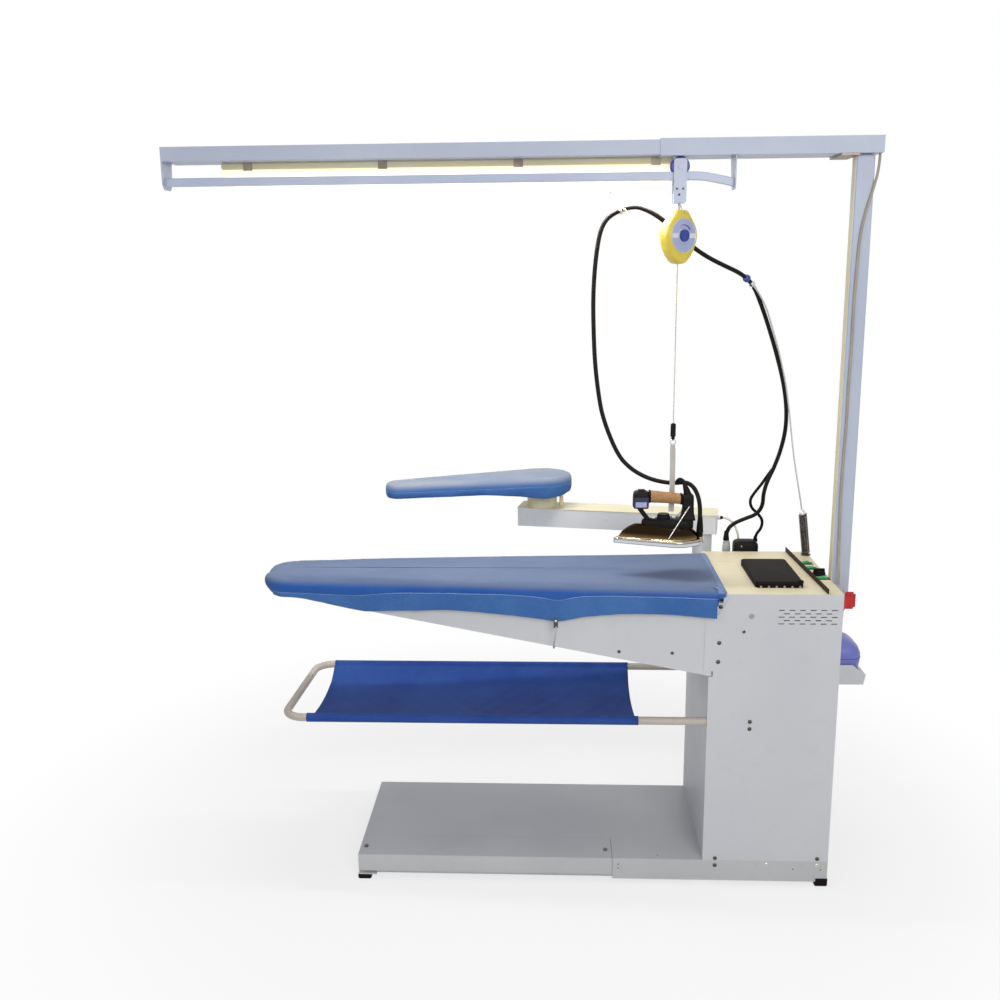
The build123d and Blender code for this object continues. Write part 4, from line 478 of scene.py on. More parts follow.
def stand_in(made, slot, *hidden):
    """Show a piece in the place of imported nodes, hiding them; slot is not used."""
    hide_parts(*hidden)
    return made


def thicken(made, thickness, offset=0):
    """Give a sheet its thickness in metres."""
    wall = made.modifiers.new("wall", "SOLIDIFY")
    wall.thickness = thickness
    wall.offset = offset


def square_to(axis):
    """An axis as a unit vector, and two more square to it and to each other."""
    axis = Vector(axis).normalized()
    side = axis.orthogonal().normalized()
    return axis, side, axis.cross(side)


def turns(count):
    """Angles that go once round."""
    return [2 * pi * k / count for k in range(count)]


def skin(rings, capped=True):
    """Points and faces of the surface through closed rings of equal count."""
    count = len(rings[0])
    points = [tuple(point) for ring in rings for point in ring]
    faces = []
    for row in range(len(rings) - 1):
        for k in range(count):
            low, high = row * count, (row + 1) * count
            after = (k + 1) % count
            faces.append((low + k, low + after, high + after, high + k))
    if capped:
        faces.append(tuple(reversed(range(count))))
        faces.append(tuple(range((len(rings) - 1) * count, len(rings) * count)))
    return points, faces


def cloth_grid(rows):
    """Points and faces of an open sheet through rows of equal count."""
    count = len(rows[0])
    points = [tuple(point) for row in rows for point in row]
    faces = [(r * count + k, r * count + k + 1, (r + 1) * count + k + 1, (r + 1) * count + k)
             for r in range(len(rows) - 1) for k in range(count - 1)]
    return points, faces


def cloth_cut(rows):
    """Length, greatest width and area, in metres, of a hanging strip before it was sewn on."""
    seam = [hypot(b[0] - a[0], b[1] - a[1]) for a, b in zip(rows[0], rows[0][1:])]
    drops = [top[2] - low[2] for top, low in zip(rows[0], rows[-1])]
    area = sum(length * (a + b) / 2 for length, a, b in zip(seam, drops, drops[1:]))
    return sum(seam) / 1000, max(drops) / 1000, area / 1e6


def frames_along(path):
    """Two square directions at each point of a path, carried along it without twist."""
    path = [Vector(point) for point in path]
    ways = [(b - a).normalized() for a, b in zip(path, path[1:])]
    ways = [ways[0]] + [(a + b).normalized() for a, b in zip(ways, ways[1:])] + [ways[-1]]
    side = ways[0].orthogonal().normalized()
    frames = []
    for way in ways:
        side = (side - way * side.dot(way)).normalized()
        frames.append((side, way.cross(side)))
    return path, frames


def tapered_rod(name, body, finish, path, radius_at, sides):
    """A closed round rod along a path; radius_at gives its radius at a share of the points."""
    path, frames = frames_along(path)
    last = len(path) - 1
    rings = [[point + (side * cos(turn) + up * sin(turn)) * radius_at(k / last) for turn in turns(sides)]
             for k, (point, (side, up)) in enumerate(zip(path, frames))]
    return piece(name, body, finish, *skin(rings))


def spun(name, body, finish, centre, axis, profile, sides):
    """A turned piece: profile gives (distance along the axis, radius)."""
    axis, side, up = square_to(axis)
    rings = [[Vector(centre) + axis * along + (side * cos(turn) + up * sin(turn)) * max(radius, 0.02)
              for turn in turns(sides)] for along, radius in profile]
    return piece(name, body, finish, *skin(rings))


def boxes(name, body, finish, places, edge=0.6, turned=None):
    """Blocks with softened edges, each given as three (low, high) pairs; turned moves them into place."""
    work = bmesh.new()
    for x, y, z in places:
        made = bmesh.ops.create_cube(work, size=1)["verts"]
        for vert in made:
            spot = Vector((x[vert.co.x > 0], y[vert.co.y > 0], z[vert.co.z > 0]))
            vert.co = at(*(turned @ spot if turned else spot))
    bmesh.ops.bevel(work, geom=work.edges[:] + work.verts[:], offset=edge / 1000, segments=3, affect="EDGES",
                    clamp_overlap=True)
    mesh = bpy.data.meshes.new(name)
    work.to_mesh(mesh)
    work.free()
    made = settle(name, body, finish, mesh, False)
    smooth_flats(made)
    return made


def smooth_flats(made, angle=35):
    """Smooth a piece but keep its corners sharp."""
    for polygon in made.data.polygons:
        polygon.use_smooth = True
    made.data.set_sharp_from_angle(angle=radians(angle))


def running_length(points):
    """Distance along a row of flat points, at each of them."""
    return np.r_[0, np.cumsum(np.hypot(*np.diff(points, axis=0).T))]


def outline(circles, count):
    """Points round the hull of (x, y, radius) circles, evenly spaced, and the outward way at each."""
    angles = np.linspace(1, 1 + 2 * pi, 5761)
    ways = np.stack([np.cos(angles), np.sin(angles)], 1)
    centres = np.array([circle[:2] for circle in circles])
    radii = np.array([circle[2] for circle in circles])
    widest = np.argmax(ways @ centres.T + radii, axis=1)
    rim = centres[widest] + radii[widest, None] * ways
    run = running_length(rim)
    places = np.linspace(0, run[-1], count, endpoint=False)
    points = np.stack([np.interp(places, run, rim[:, k]) for k in (0, 1)], 1)
    out = np.stack([np.interp(places, run, ways[:, k]) for k in (0, 1)], 1)
    return points, out / np.linalg.norm(out, axis=1)[:, None]


def smooth_line(points, closed=False):
    """A fine path through the curve whose control points these are, in the same measure."""
    data = bpy.data.curves.new("guide", "CURVE")
    data.dimensions = "3D"
    spline = data.splines.new("NURBS")
    spline.points.add(len(points) - 1)
    for spot, point in zip(spline.points, points):
        spot.co = (*point, 1)
    spline.order_u = 3
    spline.use_endpoint_u = not closed
    spline.use_cyclic_u = closed
    guide = bpy.data.objects.new("guide", data)
    bpy.context.scene.collection.objects.link(guide)
    mesh = bpy.data.meshes.new_from_object(guide.evaluated_get(bpy.context.evaluated_depsgraph_get()))
    path = [vert.co.copy() for vert in mesh.vertices]
    bpy.data.objects.remove(guide)
    bpy.data.meshes.remove(mesh)
    bpy.data.curves.remove(data)
    return path


# ---------------------------------------------------------------- repeated and path-following shapes
class Recipe:
    """A geometry node tree with named inputs, applied to a bare mesh and turned into a plain one."""

    def __init__(self, name, **inputs):
        self.tree = bpy.data.node_groups.new(name, "GeometryNodeTree")
        self.tree.interface.new_socket("Geometry", in_out="INPUT", socket_type="NodeSocketGeometry")
        self.keys = {}
        for label, (kind, default) in inputs.items():
            socket = self.tree.interface.new_socket(label, in_out="INPUT", socket_type="NodeSocket" + kind)
            if default is not None:
                socket.default_value = default
            self.keys[label] = socket.identifier
        self.tree.interface.new_socket("Geometry", in_out="OUTPUT", socket_type="NodeSocketGeometry")
        self.given = self.tree.nodes.new("NodeGroupInput").outputs
        self.result = self.tree.nodes.new("NodeGroupOutput")

    def node(self, kind, settings, sockets):
        made = self.tree.nodes.new(kind)
        for key, value in settings.items():
            setattr(made, key, value)
        for key, value in sockets.items():
            if isinstance(value, bpy.types.NodeSocket):
                self.tree.links.new(value, made.inputs[key])
            else:
                made.inputs[key].default_value = value
        return made

    def end(self, geometry):
        """Make instances real and give them the finish."""
        real = self.node("GeometryNodeRealizeInstances", {}, {"Geometry": geometry})
        painted = self.node("GeometryNodeSetMaterial", {}, {"Geometry": real.outputs[0],
                                                            "Material": self.given["Finish"]})
        self.tree.links.new(painted.outputs[0], self.result.inputs[0])

    def make(self, name, body, finish, points, edges=(), facing=None, smooth=True, **values):
        """Run the tree on points in the machine's millimetres and keep the result as a plain mesh."""
        mesh = bpy.data.meshes.new(name)
        mesh.from_pydata([at(*point) for point in points], edges, [])
        if facing is not None:
            attribute = mesh.attributes.new("facing", "FLOAT_VECTOR", "POINT")
            attribute.data.foreach_set("vector", np.array(facing, float).ravel())
        source = bpy.data.objects.new(name + "_guide", mesh)
        bpy.context.scene.collection.objects.link(source)
        modifier = source.modifiers.new("recipe", "NODES")
        modifier.node_group = self.tree
        for label, value in {"Finish": finish, **values}.items():
            modifier[self.keys[label]] = value
        bpy.context.view_layer.update()
        made = bpy.data.meshes.new_from_object(source.evaluated_get(bpy.context.evaluated_depsgraph_get()))
        source.modifiers.remove(modifier)
        bpy.data.objects.remove(source)
        return settle(name, body, finish, made, smooth)


def chain(count, closed=False):
    """Edges that join points in a row."""
    return [(k, k + 1) for k in range(count - 1)] + ([(count - 1, 0)] if closed else [])


def wire_recipe():
    """A round wire or hose along a path."""
    recipe = Recipe("round_wire", Finish=("Material", None), Radius=("Float", 0.002), Sides=("Int", 12))
    path = recipe.node("GeometryNodeMeshToCurve", {}, {"Mesh": recipe.given["Geometry"]})
    section = recipe.node("GeometryNodeCurvePrimitiveCircle", {}, {"Resolution": recipe.given["Sides"],
                                                                   "Radius": recipe.given["Radius"]})
    solid = recipe.node("GeometryNodeCurveToMesh", {}, {"Curve": path.outputs[0], "Fill Caps": True,
                                                        "Profile Curve": section.outputs[0]})
    recipe.end(solid.outputs[0])
    return recipe


def stitch_recipe():
    """Short stitches laid end to end along a path, with a gap between each two."""
    recipe = Recipe("stitches", Finish=("Material", None), Pitch=("Float", 0.004), Thread=("Float", 0.0004),
                    Bite=("Float", 0.0014))
    path = recipe.node("GeometryNodeMeshToCurve", {}, {"Mesh": recipe.given["Geometry"]})
    spots = recipe.node("GeometryNodeResampleCurve", {"mode": "LENGTH"}, {"Curve": path.outputs[0],
                                                                          "Length": recipe.given["Pitch"]})
    spots = recipe.node("GeometryNodeCurveToPoints", {"mode": "EVALUATED"}, {"Curve": spots.outputs[0]})
    size = recipe.node("ShaderNodeCombineXYZ", {}, {0: recipe.given["Thread"], 1: recipe.given["Thread"],
                                                    2: recipe.given["Bite"]})
    bead = recipe.node("GeometryNodeMeshIcoSphere", {}, {"Radius": 1.0, "Subdivisions": 1})
    laid = recipe.node("GeometryNodeInstanceOnPoints", {}, {"Points": spots.outputs[0],
                                                            "Instance": bead.outputs[0],
                                                            "Rotation": spots.outputs["Rotation"],
                                                            "Scale": size.outputs[0]})
    recipe.end(laid.outputs[0])
    return recipe


def fastener_recipe():
    """A screw head on each point, turned to face out."""
    recipe = Recipe("fasteners", Finish=("Material", None), Head=("Object", None), Size=("Float", 1.0))
    facing = recipe.node("GeometryNodeInputNamedAttribute", {"data_type": "FLOAT_VECTOR"}, {"Name": "facing"})
    turned = recipe.node("FunctionNodeAlignRotationToVector", {"axis": "Z"}, {"Vector": facing.outputs[0]})
    head = recipe.node("GeometryNodeObjectInfo", {}, {"Object": recipe.given["Head"]})
    spots = recipe.node("GeometryNodeMeshToPoints", {}, {"Mesh": recipe.given["Geometry"]})
    laid = recipe.node("GeometryNodeInstanceOnPoints", {}, {"Points": spots.outputs[0],
                                                            "Instance": head.outputs["Geometry"],
                                                            "Rotation": turned.outputs[0],
                                                            "Scale": recipe.given["Size"]})
    recipe.end(laid.outputs[0])
    return recipe


round_wire = wire_recipe()
stitches = stitch_recipe()
fasteners = fastener_recipe()


def wire(name, body, finish, path, radius, sides=12, closed=False):
    """A round wire of the given radius in millimetres."""
    return round_wire.make(name, body, finish, path, chain(len(path), closed), Radius=radius / 1000, Sides=sides)


def sew(name, body, finish, line, closed=False, thread=0.35, bite=1.5):
    """Stitches along a line, every 4.5 mm; thread and bite are half a stitch's width and length in mm."""
    stitches.make(name, body, finish, line, chain(len(line), closed), Pitch=0.0045, Thread=thread / 1000,
                  Bite=bite / 1000)


def screw_head(radius, height):
    """A domed head with a cross recess, standing on the origin."""
    work = bmesh.new()
    sides = 20
    rings = [[work.verts.new((radius * width * cos(turn), radius * width * sin(turn), height * share))
              for turn in turns(sides)]
             for share, width in [(0, 1.0), (0.25, 1.0), (0.6, 0.9), (0.85, 0.68), (1.0, 0.34)]]
    rings.append([work.verts.new((vert.co.x * arm, vert.co.y * arm, height * 0.55))
                  for vert, arm in zip(rings[-1], [0.9, 0.35, 0.35, 0.35, 0.35] * 4)])
    for low, high in zip(rings, rings[1:]):
        for k in range(sides):
            work.faces.new((low[k], low[(k + 1) % sides], high[(k + 1) % sides], high[k]))
    work.faces.new(rings[-1])
    mesh = bpy.data.meshes.new("head")
    work.to_mesh(mesh)
    work.free()
    head = bpy.data.objects.new("head", mesh)
    bpy.context.scene.collection.objects.link(head)
    return head


def screws(name, body, finish, spots, radius=4.0, height=2.0):
    """Screw heads at ((x, y, z), facing) spots."""
    head = screw_head(radius / 1000, height / 1000)
    made = fasteners.make(name, body, finish, [spot for spot, _ in spots], facing=[way for _, way in spots],
                          Head=head, smooth=False)
    bpy.data.objects.remove(head)
    smooth_flats(made, 40)
    return made


# ---------------------------------------------------------------- cords
hose_route = [(1092, 462, 893), (1092, 462, 920), (1111, 458, 944), (1145, 455, 960), (1180, 452, 974),
              (1197, 449, 1003), (1196, 446, 1038), (1205, 443, 1078), (1224, 438, 1124), (1240, 431, 1180),
              (1249, 421, 1243), (1245, 409, 1310), (1229, 393, 1384), (1202, 371, 1464), (1171, 347, 1544),
              (1141, 323, 1612), (1112, 301.5, 1667), (1076, 283, 1695), (1032, 262, 1714), (985, 242, 1735),
              (939, 224, 1762), (897, 211, 1797), (856, 201, 1833), (812, 192, 1861), (768, 187.3, 1875),
              (735, 185.5, 1862)]
upper_route = [(735, 185.5, 1862), (708.6, 184.06, 1851.6), (686, 182, 1822), (675, 180.8, 1772),
               (668, 180, 1705), (665, 180, 1630), (667, 180, 1550), (671, 180, 1468), (680, 179, 1388),
               (694, 177.5, 1309), (716, 174, 1256)]
lower_route = [(716, 174, 1256), (735.8, 170.85, 1208.3), (772, 166, 1170), (815, 160, 1146), (857, 154, 1135),
               (893, 146, 1133), (922, 131, 1140), (943, 116, 1127), (956, 108, 1094), (959, 106, 1053),
               (959, 106, 1014)]
power_route = [(1183, 474, 886), (1183, 474, 904), (1200, 473, 925), (1203, 471, 952), (1186, 469, 974),
               (1165, 467, 992), (1160, 465, 1018), (1174, 461, 1042), (1192, 456, 1068), (1207, 450, 1096),
               (1225, 438, 1127)]
arm_route = [(1079.9, 512.4, 950), (1093, 509.97, 950), (1107, 506, 946), (1119, 501, 935), (1128, 494, 917),
             (1134, 487, 896), (1134, 487, 874)]
lamp_route = [(1385, 119.5, 1992), (1385, 119.5, 1958), (1374, 119.9, 1905), (1358, 120, 1850),
              (1347, 120.2, 1790), (1344, 119.9, 1700), (1342, 120.1, 1600), (1343, 119.9, 1500),
              (1341, 120.1, 1400), (1342, 119.9, 1300), (1339, 120.1, 1200), (1338, 119.9, 1100),
              (1340, 119.6, 1010), (1341, 116, 945), (1340, 103, 905), (1340, 98, 880), (1340, 98, 859)]
hose_thickness, supply_thickness, thin_lead = 12.0, 9.0, 7.0


def run_of(path):
    """Length of a path in metres, given in millimetres."""
    return sum((b - a).length for a, b in zip(path, path[1:])) / 1000


def hose(name, node, finish, route, thickness, bodies, slot):
    """A free hose or lead as one fine tube along its route, riding on its body; where it has two bodies it rides on
    neither.
    """
    path = smooth_line(route)
    tube = wire(name, None if len(bodies) > 1 else bodies[0], finish, path, thickness / 2, 16)
    stand_in(tube, slot, node)
    at(*route[0])
    run_of(path)
    [at(*point) for point in path]
    if len(bodies) > 1:
        at(*route[0])
        at(*route[-1])
        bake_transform(tube)
    return path


main_path = hose("hose_from_boiler", "hose_main", hose_coat, hose_route, hose_thickness, ["stand"],
                 "hose_grey")
hose("hose_loop", "hose_upper", hose_coat, upper_route, hose_thickness, ["stand", "trolley"],
     "hose_grey")
lower_path = hose("hose_to_iron", "hose_lower", hose_coat, lower_route, hose_thickness, ["trolley", "iron"],
                  "hose_grey")
hose("iron_supply_lead", "power_lead", black_rubber, power_route, supply_thickness, ["stand"], "rubber")
hose("lamp_lead", "lamp_cable", grey_lead, lamp_route, thin_lead, ["stand"], "rubber")
hose("arm_lead", "arm_cable", cream_lead, arm_route, thin_lead, ["arm", "stand"], "cable_white")

# tapered sleeves where hoses and leads leave their glands
sleeve_spots = [("steam_gland_sleeve", "stand", hose_route[0], (0, 0, 1), 26, 9.2, 6.3, black_rubber),
                ("supply_gland_sleeve", "stand", power_route[0], (0, 0, 1), 14, 7.2, 4.8, black_rubber),
                ("junction_sleeve", "stand", arm_route[-1], (0, 0, 1), 14, 6.0, 3.8, cream_lead),
                ("arm_gland_sleeve", "arm", arm_route[0], (0.983, -0.182, 0), 9, 5.6, 3.9, black_rubber),
                ("iron_inlet_sleeve", "iron", lower_route[-1], (0, 0, 1), 34, 9.0, 6.4, black_rubber)]
collars = 5
for name, body, foot, way, length, wide, narrow, finish in sleeve_spots:
    profile = [(-2, wide * 0.9), (-2, wide), (2, wide)]
    for ring in range(collars):
        start = 2 + (length - 6) * ring / collars
        step = wide + (narrow - wide) * (ring + 1) / collars
        profile += [(start + 1.2, step + 0.5), (start + (length - 6) / collars - 0.6, step + 0.5),
                    (start + (length - 6) / collars, step - 0.2)]
    profile += [(length, narrow + 0.2), (length, narrow - 0.6)]
    spun(name, body, finish, foot, way, profile, 32)


# ---------------------------------------------------------------- ironing board
nose_x, nose_half, nose_round = -262, 100, 70
end_x, end_half, end_round = 1020, 193, 12
board_middle = 171
board_top, board_seat = 876.4, 838
board_circles = [(nose_x + nose_round, board_middle + side * (nose_half - nose_round), nose_round)
                 for side in (-1, 1)]
board_circles += [(end_x - end_round, board_middle + side * (end_half - end_round), end_round)
                  for side in (-1, 1)]
skirt_end = 996                          # the skirt stops here, short of the board's square end
hem_shape = [(-300, 822), (-150, 824), (-87, 811), (36, 787), (65, 791), (275, 800), (413, 793), (522, 783),
             (568, 772), (630, 790), (737, 804), (844, 806), (949, 801), (1040, 794)]
seam_shape = [(-300, 836), (-156, 835), (-72, 833.5), (0, 832), (20, 832), (79, 839), (129, 843), (275, 846),
              (415, 846.5), (480, 845), (540, 840), (568, 833), (627, 847), (693, 851), (787, 851.6), (900, 852),
              (952, 851), (1040, 850)]


def along_shape(shape, x):
    """Height of a broken line at x, with its corners rounded off."""
    xs, zs = zip(*shape)
    return float(np.mean(np.interp([x - 18, x - 9, x, x + 9, x + 18], xs, zs)))


def ripple(s, seed, long=0.021, short=0.057):
    """A smooth, uneven wave along a length in millimetres, from -1 to 1."""
    return (sin(s * long + seed) + 0.6 * sin(s * short + 2.3 * seed) + 0.4 * sin(s * 0.13 + 4.1 * seed)) / 2


def drawn_in(point, way, inset, spine):
    """A rim point moved inwards: square to the rim at first, then towards the middle line."""
    moved = point - way * min(inset, 8)
    towards = spine(point) - moved
    return moved + towards * (max(inset - 8, 0) / np.linalg.norm(towards))


def cushion(name, body, finish, rim, out, spine, profile, place, rings_in, tuck):
    """A padded lid round a rim: its edge follows profile, (inset, height), and its top closes on the spine.

    tuck draws the lower edge in; it fades out towards the inner lip."""
    rings = [[place(*drawn_in(point, way, inset + tuck(point, z) * max(0, 1 - inset / 22), spine), z)
              for point, way in zip(rim, out)] for inset, z in profile]
    inset, z = profile[-1]
    for ring in range(1, rings_in + 1):
        share = ring / rings_in
        rings.append([place(*(drawn_in(point, way, inset, spine) * (1 - share) + spine(point) * share),
                            z + 0.9 * share) for point, way in zip(rim, out)])
    points, faces = skin(rings, capped=False)
    faces.append(tuple(reversed(range(len(rim)))))
    return piece(name, body, finish, points, faces)


swell_frames = 8
swell_cap = 0.004                        # metres


def swell(soft, held_below):
    """Let the padding push its cover out by 4 mm at most; points under held_below stay."""
    start = np.array([vert.co for vert in soft.data.vertices])
    held = soft.vertex_groups.new(name="held")
    held.add([k for k, spot in enumerate(start) if spot[2] < held_below], 1.0, "REPLACE")
    modifier = soft.modifiers.new("cloth", "CLOTH")
    modifier.settings.quality = 4
    modifier.settings.vertex_group_mass = "held"
    modifier.settings.use_pressure = True
    modifier.settings.uniform_pressure_force = 4
    modifier.settings.effector_weights.gravity = 0
    modifier.point_cache.frame_start = 1
    modifier.point_cache.frame_end = swell_frames
    scene = bpy.context.scene
    for frame_number in range(1, swell_frames + 1):
        scene.frame_set(frame_number)
    shape = soft.evaluated_get(bpy.context.evaluated_depsgraph_get()).to_mesh()
    moved = np.array([vert.co for vert in shape.vertices]) - start
    soft.modifiers.remove(modifier)
    soft.vertex_groups.clear()
    scene.frame_set(1)
    reach = np.linalg.norm(moved, axis=1)
    moved *= (np.minimum(reach, swell_cap) / np.maximum(reach, 1e-9))[:, None]
    for vert, spot in zip(soft.data.vertices, start + moved):
        vert.co = spot


rim_points, rim_out = outline(board_circles, 440)


def board_spine(point):
    """The board's middle line nearest to a rim point."""
    return np.array([min(max(point[0], nose_x + 92), end_x - 170), board_middle])


def nose_tuck(x, z):
    """How far the nose's lower edge is drawn in at a height."""
    near = min(max((nose_x + 80 - x) / 74, 0), 1) ** 1.5
    return near * float(np.interp(z, [827, 831, 836, 842, 850, 860], [20, 15, 9.5, 5, 1.5, 0]))


def board_tuck(point, z):
    """The padding stands back behind the skirt below the seam."""
    below = min(max((along_shape(seam_shape, point[0]) + 1 - z) / 8, 0), 1)
    open_end = 30 * min(max((850 - z) / 4, 0), 1) if point[0] > skirt_end - 1 else 0
    return nose_tuck(point[0], z) + 3.2 * below + open_end


rolled_edge = [(19, 842.5), (18.2, 836), (16.5, 827), (12, 822.5), (6, 822.5), (1.8, 826), (0.3, 832), (0, 840),
               (0, 848), (0.2, 856), (1.2, 863), (3.2, 869), (6.6, 873.6), (11, 876), (17, 877), (26, 877.4),
               (40, 877.6), (58, 877.7)]
board_cushion = cushion("board_padding", "stand", board_cotton, rim_points, rim_out, board_spine, rolled_edge,
                        lambda x, y, z: (x, y, z), 10, board_tuck)
for vert in board_cushion.data.vertices:
    x, y = vert.co.x * 1000, vert.co.y * 1000
    if vert.co.z > 0.85:
        vert.co.z += 0.0005 * ripple(x + 0.6 * y, 1.7, 0.016, 0.043) * ripple(y - 0.4 * x, 0.6, 0.03, 0.07)
swell(board_cushion, 0.846)
stand_in(board_cushion, "cover_blue", "board_cover", "board_pad")

# the skirt hangs from the seam under the rolled edge, all round but for the square end
run = running_length(rim_points)
skirt_places = [k for k in range(len(rim_points)) if rim_points[k][0] < skirt_end]
skirt_rows = []
rows = 16
for row in range(rows + 1):
    share = row / rows
    line = []
    for k in skirt_places:
        (x, y), way = rim_points[k], rim_out[k]
        top = along_shape(seam_shape, x)
        low = along_shape(hem_shape, x)
        wave = 2.4 * share ** 1.4 * ripple(run[k], 0.9) + 0.5 * share * ripple(run[k], 2.6, 0.06, 0.15)
        pull = 5 * share * np.exp(-((x - 568) / 42) ** 2)
        bulge = 1.6 * sin(pi * share) - 1.0 - 1.8 * share - pull + wave
        z = top + (low - top) * share
        bulge -= nose_tuck(x, z)
        line.append((x + way[0] * bulge, y + way[1] * bulge, z))
    skirt_rows.append(line)
skirt = piece("board_skirt", "stand", skirt_cotton, *cloth_grid(skirt_rows))
thicken(skirt, 0.0012)
skirt_cut = cloth_cut(skirt_rows)

# piping on the seam, a folded hem, and the stitches of both
for name, finish, line, rise, radius in (("board_piping", piping_cotton, skirt_rows[0], 1.4, 1.3),
                                         ("board_hem", skirt_cotton, skirt_rows[-1], 1, 1.5)):
    wire(name, "stand", finish, [(x, y, z + rise) for x, y, z in line], radius, 8)
lift = 0.9                               # stitches stand proud of the cloth
for name, line in (("seam_stitches", skirt_rows[1]), ("hem_stitches", skirt_rows[-2])):
    sew(name, "stand", piping_cotton,
        [(x + rim_out[k][0] * lift, y + rim_out[k][1] * lift, z) for k, (x, y, z) in zip(skirt_places, line)])

# a paler band is sewn over the square end's top edge
band_rows = []
band_places = [k for k in range(len(rim_points)) if rim_points[k][0] > skirt_end - 3]
split = max(range(len(band_places) - 1), key=lambda k: band_places[k + 1] - band_places[k]) + 1
band_places = band_places[split:] + band_places[:split]
for inset, z in [(0.6, 866.6), (2.5, 870.4), (6, 874.8), (10.8, 877.4), (17, 878.6), (23, 879.2), (30, 879.3)]:
    band_rows.append([(*drawn_in(rim_points[k], rim_out[k], inset, board_spine), z) for k in band_places])
end_band = piece("board_end_band", "stand", band_cotton, *cloth_grid(band_rows))
thicken(end_band, 0.0009, 1)


# ---------------------------------------------------------------- sleeve board
swivel_x, swivel_y = 524.607, 633.669
sleeve_turn = radians(18.5)
sleeve_wide, sleeve_tip, sleeve_reach = 95, 45, 465
sleeve_top = 1070
sleeve_circles = [(0, 0, sleeve_wide), (sleeve_reach, 0, sleeve_tip)]
sleeve_rim, sleeve_out = outline(sleeve_circles, 360)


def on_sleeve(u, v, z):
    """From the swivel towards the tip, to the front, and height, to a place on the machine."""
    return (swivel_x - u * cos(sleeve_turn) + v * sin(sleeve_turn),
            swivel_y - u * sin(sleeve_turn) - v * cos(sleeve_turn), z)


def sleeve_spine(point):
    """The sleeve board's middle line nearest to a rim point."""
    return np.array([min(max(point[0], 0), sleeve_reach), 0])


sleeve_edge = [(14, 1050.6), (13, 1046), (10.5, 1039), (7, 1035), (3, 1034.5), (0.8, 1038), (0, 1043), (0, 1049),
               (0.4, 1055), (1.6, 1060), (4, 1064.5), (7.6, 1067.4), (12, 1068.8), (18, 1069.3), (26, 1069.5)]
sleeve_cushion = cushion("sleeve_padding", "sleeve_board", sleeve_cotton, sleeve_rim, sleeve_out, sleeve_spine,
                         sleeve_edge, on_sleeve, 8, lambda point, z: 0.0)
swell(sleeve_cushion, 1.05)
stand_in(sleeve_cushion, "cover_blue", "sleeve_cover", "sleeve_pad")

sleeve_hem = [(-110, 1023), (-40, 1008), (25, 1003), (95, 1013), (200, 1023), (530, 1024)]
sleeve_run = running_length(sleeve_rim)
sleeve_round = 2 * pi / (sleeve_run[-1] + sleeve_run[1])
sleeve_rows = []
for row in range(13):
    share = row / 12
    line = []
    for k, ((u, v), way) in enumerate(zip(sleeve_rim, sleeve_out)):
        low = along_shape(sleeve_hem, u)
        top = 1041
        turn_at = sleeve_run[k] * sleeve_round
        wave = share ** 1.3 * (1.1 * sin(9 * turn_at + 1) + 0.7 * sin(23 * turn_at + 2) + 0.4 * sin(41 * turn_at))
        bulge = 1.2 * sin(pi * share) - 0.9 - 2.6 * share + wave
        line.append(on_sleeve(u + way[0] * bulge, v + way[1] * bulge, top + (low - top) * share))
    line.append(line[0])
    sleeve_rows.append(line)
sleeve_skirt = piece("sleeve_skirt", "sleeve_board", skirt_cotton, *cloth_grid(sleeve_rows))
thicken(sleeve_skirt, 0.001)
sleeve_cut = cloth_cut(sleeve_rows)
sleeve_seam = [(x, y, z + 1) for x, y, z in sleeve_rows[0][:-1]]
wire("sleeve_piping", "sleeve_board", piping_cotton, sleeve_seam, 1.1, 8, closed=True)
sew("sleeve_stitches", "sleeve_board", piping_cotton,
    [on_sleeve(u + way[0] * 0.6, v + way[1] * 0.6, 1037.5) for (u, v), way in zip(sleeve_rim, sleeve_out)],
    True, 0.3, 1.4)


# ---------------------------------------------------------------- catch cloth
rail_front, rail_rear, rail_height = 15, 425, 490
wrap = 11 + 0.9                          # cloth round the tray's tube
cloth_left, cloth_right = -130, 792
cloth_columns, cloth_spots = 150, 44


def cloth_section(x):
    """Cross-section of the cloth at x: round the front tube, across in a sag, and round the rear tube."""
    section = []
    edge = min(x - cloth_left, cloth_right - x)
    tension = 1 - np.exp(-edge / 60)
    for turn_at in np.radians(np.arange(250, -31, -20)):
        section.append((rail_front + wrap * cos(turn_at), rail_height + wrap * sin(turn_at)))
    for k in range(1, cloth_spots):
        share = k / cloth_spots
        y = rail_front + (rail_rear - wrap * 0.98 - rail_front) * share
        climb = max((share - 0.8) / 0.2, 0)
        drop = 24 * (1 - (2 * share - 1) ** 2) * (0.7 + 0.3 * tension) - (wrap + 2) * climb ** 2 * (3 - 2 * climb)
        fold = 1.5 * sin(pi * share) * ripple(x + 0.7 * y * (1 if x < 330 else -1), 1.3, 0.035, 0.09)
        fold += 1.1 * sin(pi * share) * ripple(x, 3.1, 0.012, 0.028)
        section.append((y, rail_height - wrap - drop + fold * min(1, edge / 25)))
    for turn_at in np.radians(np.arange(170, -111, -20)):
        section.append((rail_rear + wrap * cos(turn_at), rail_height + wrap * sin(turn_at)))
    return section


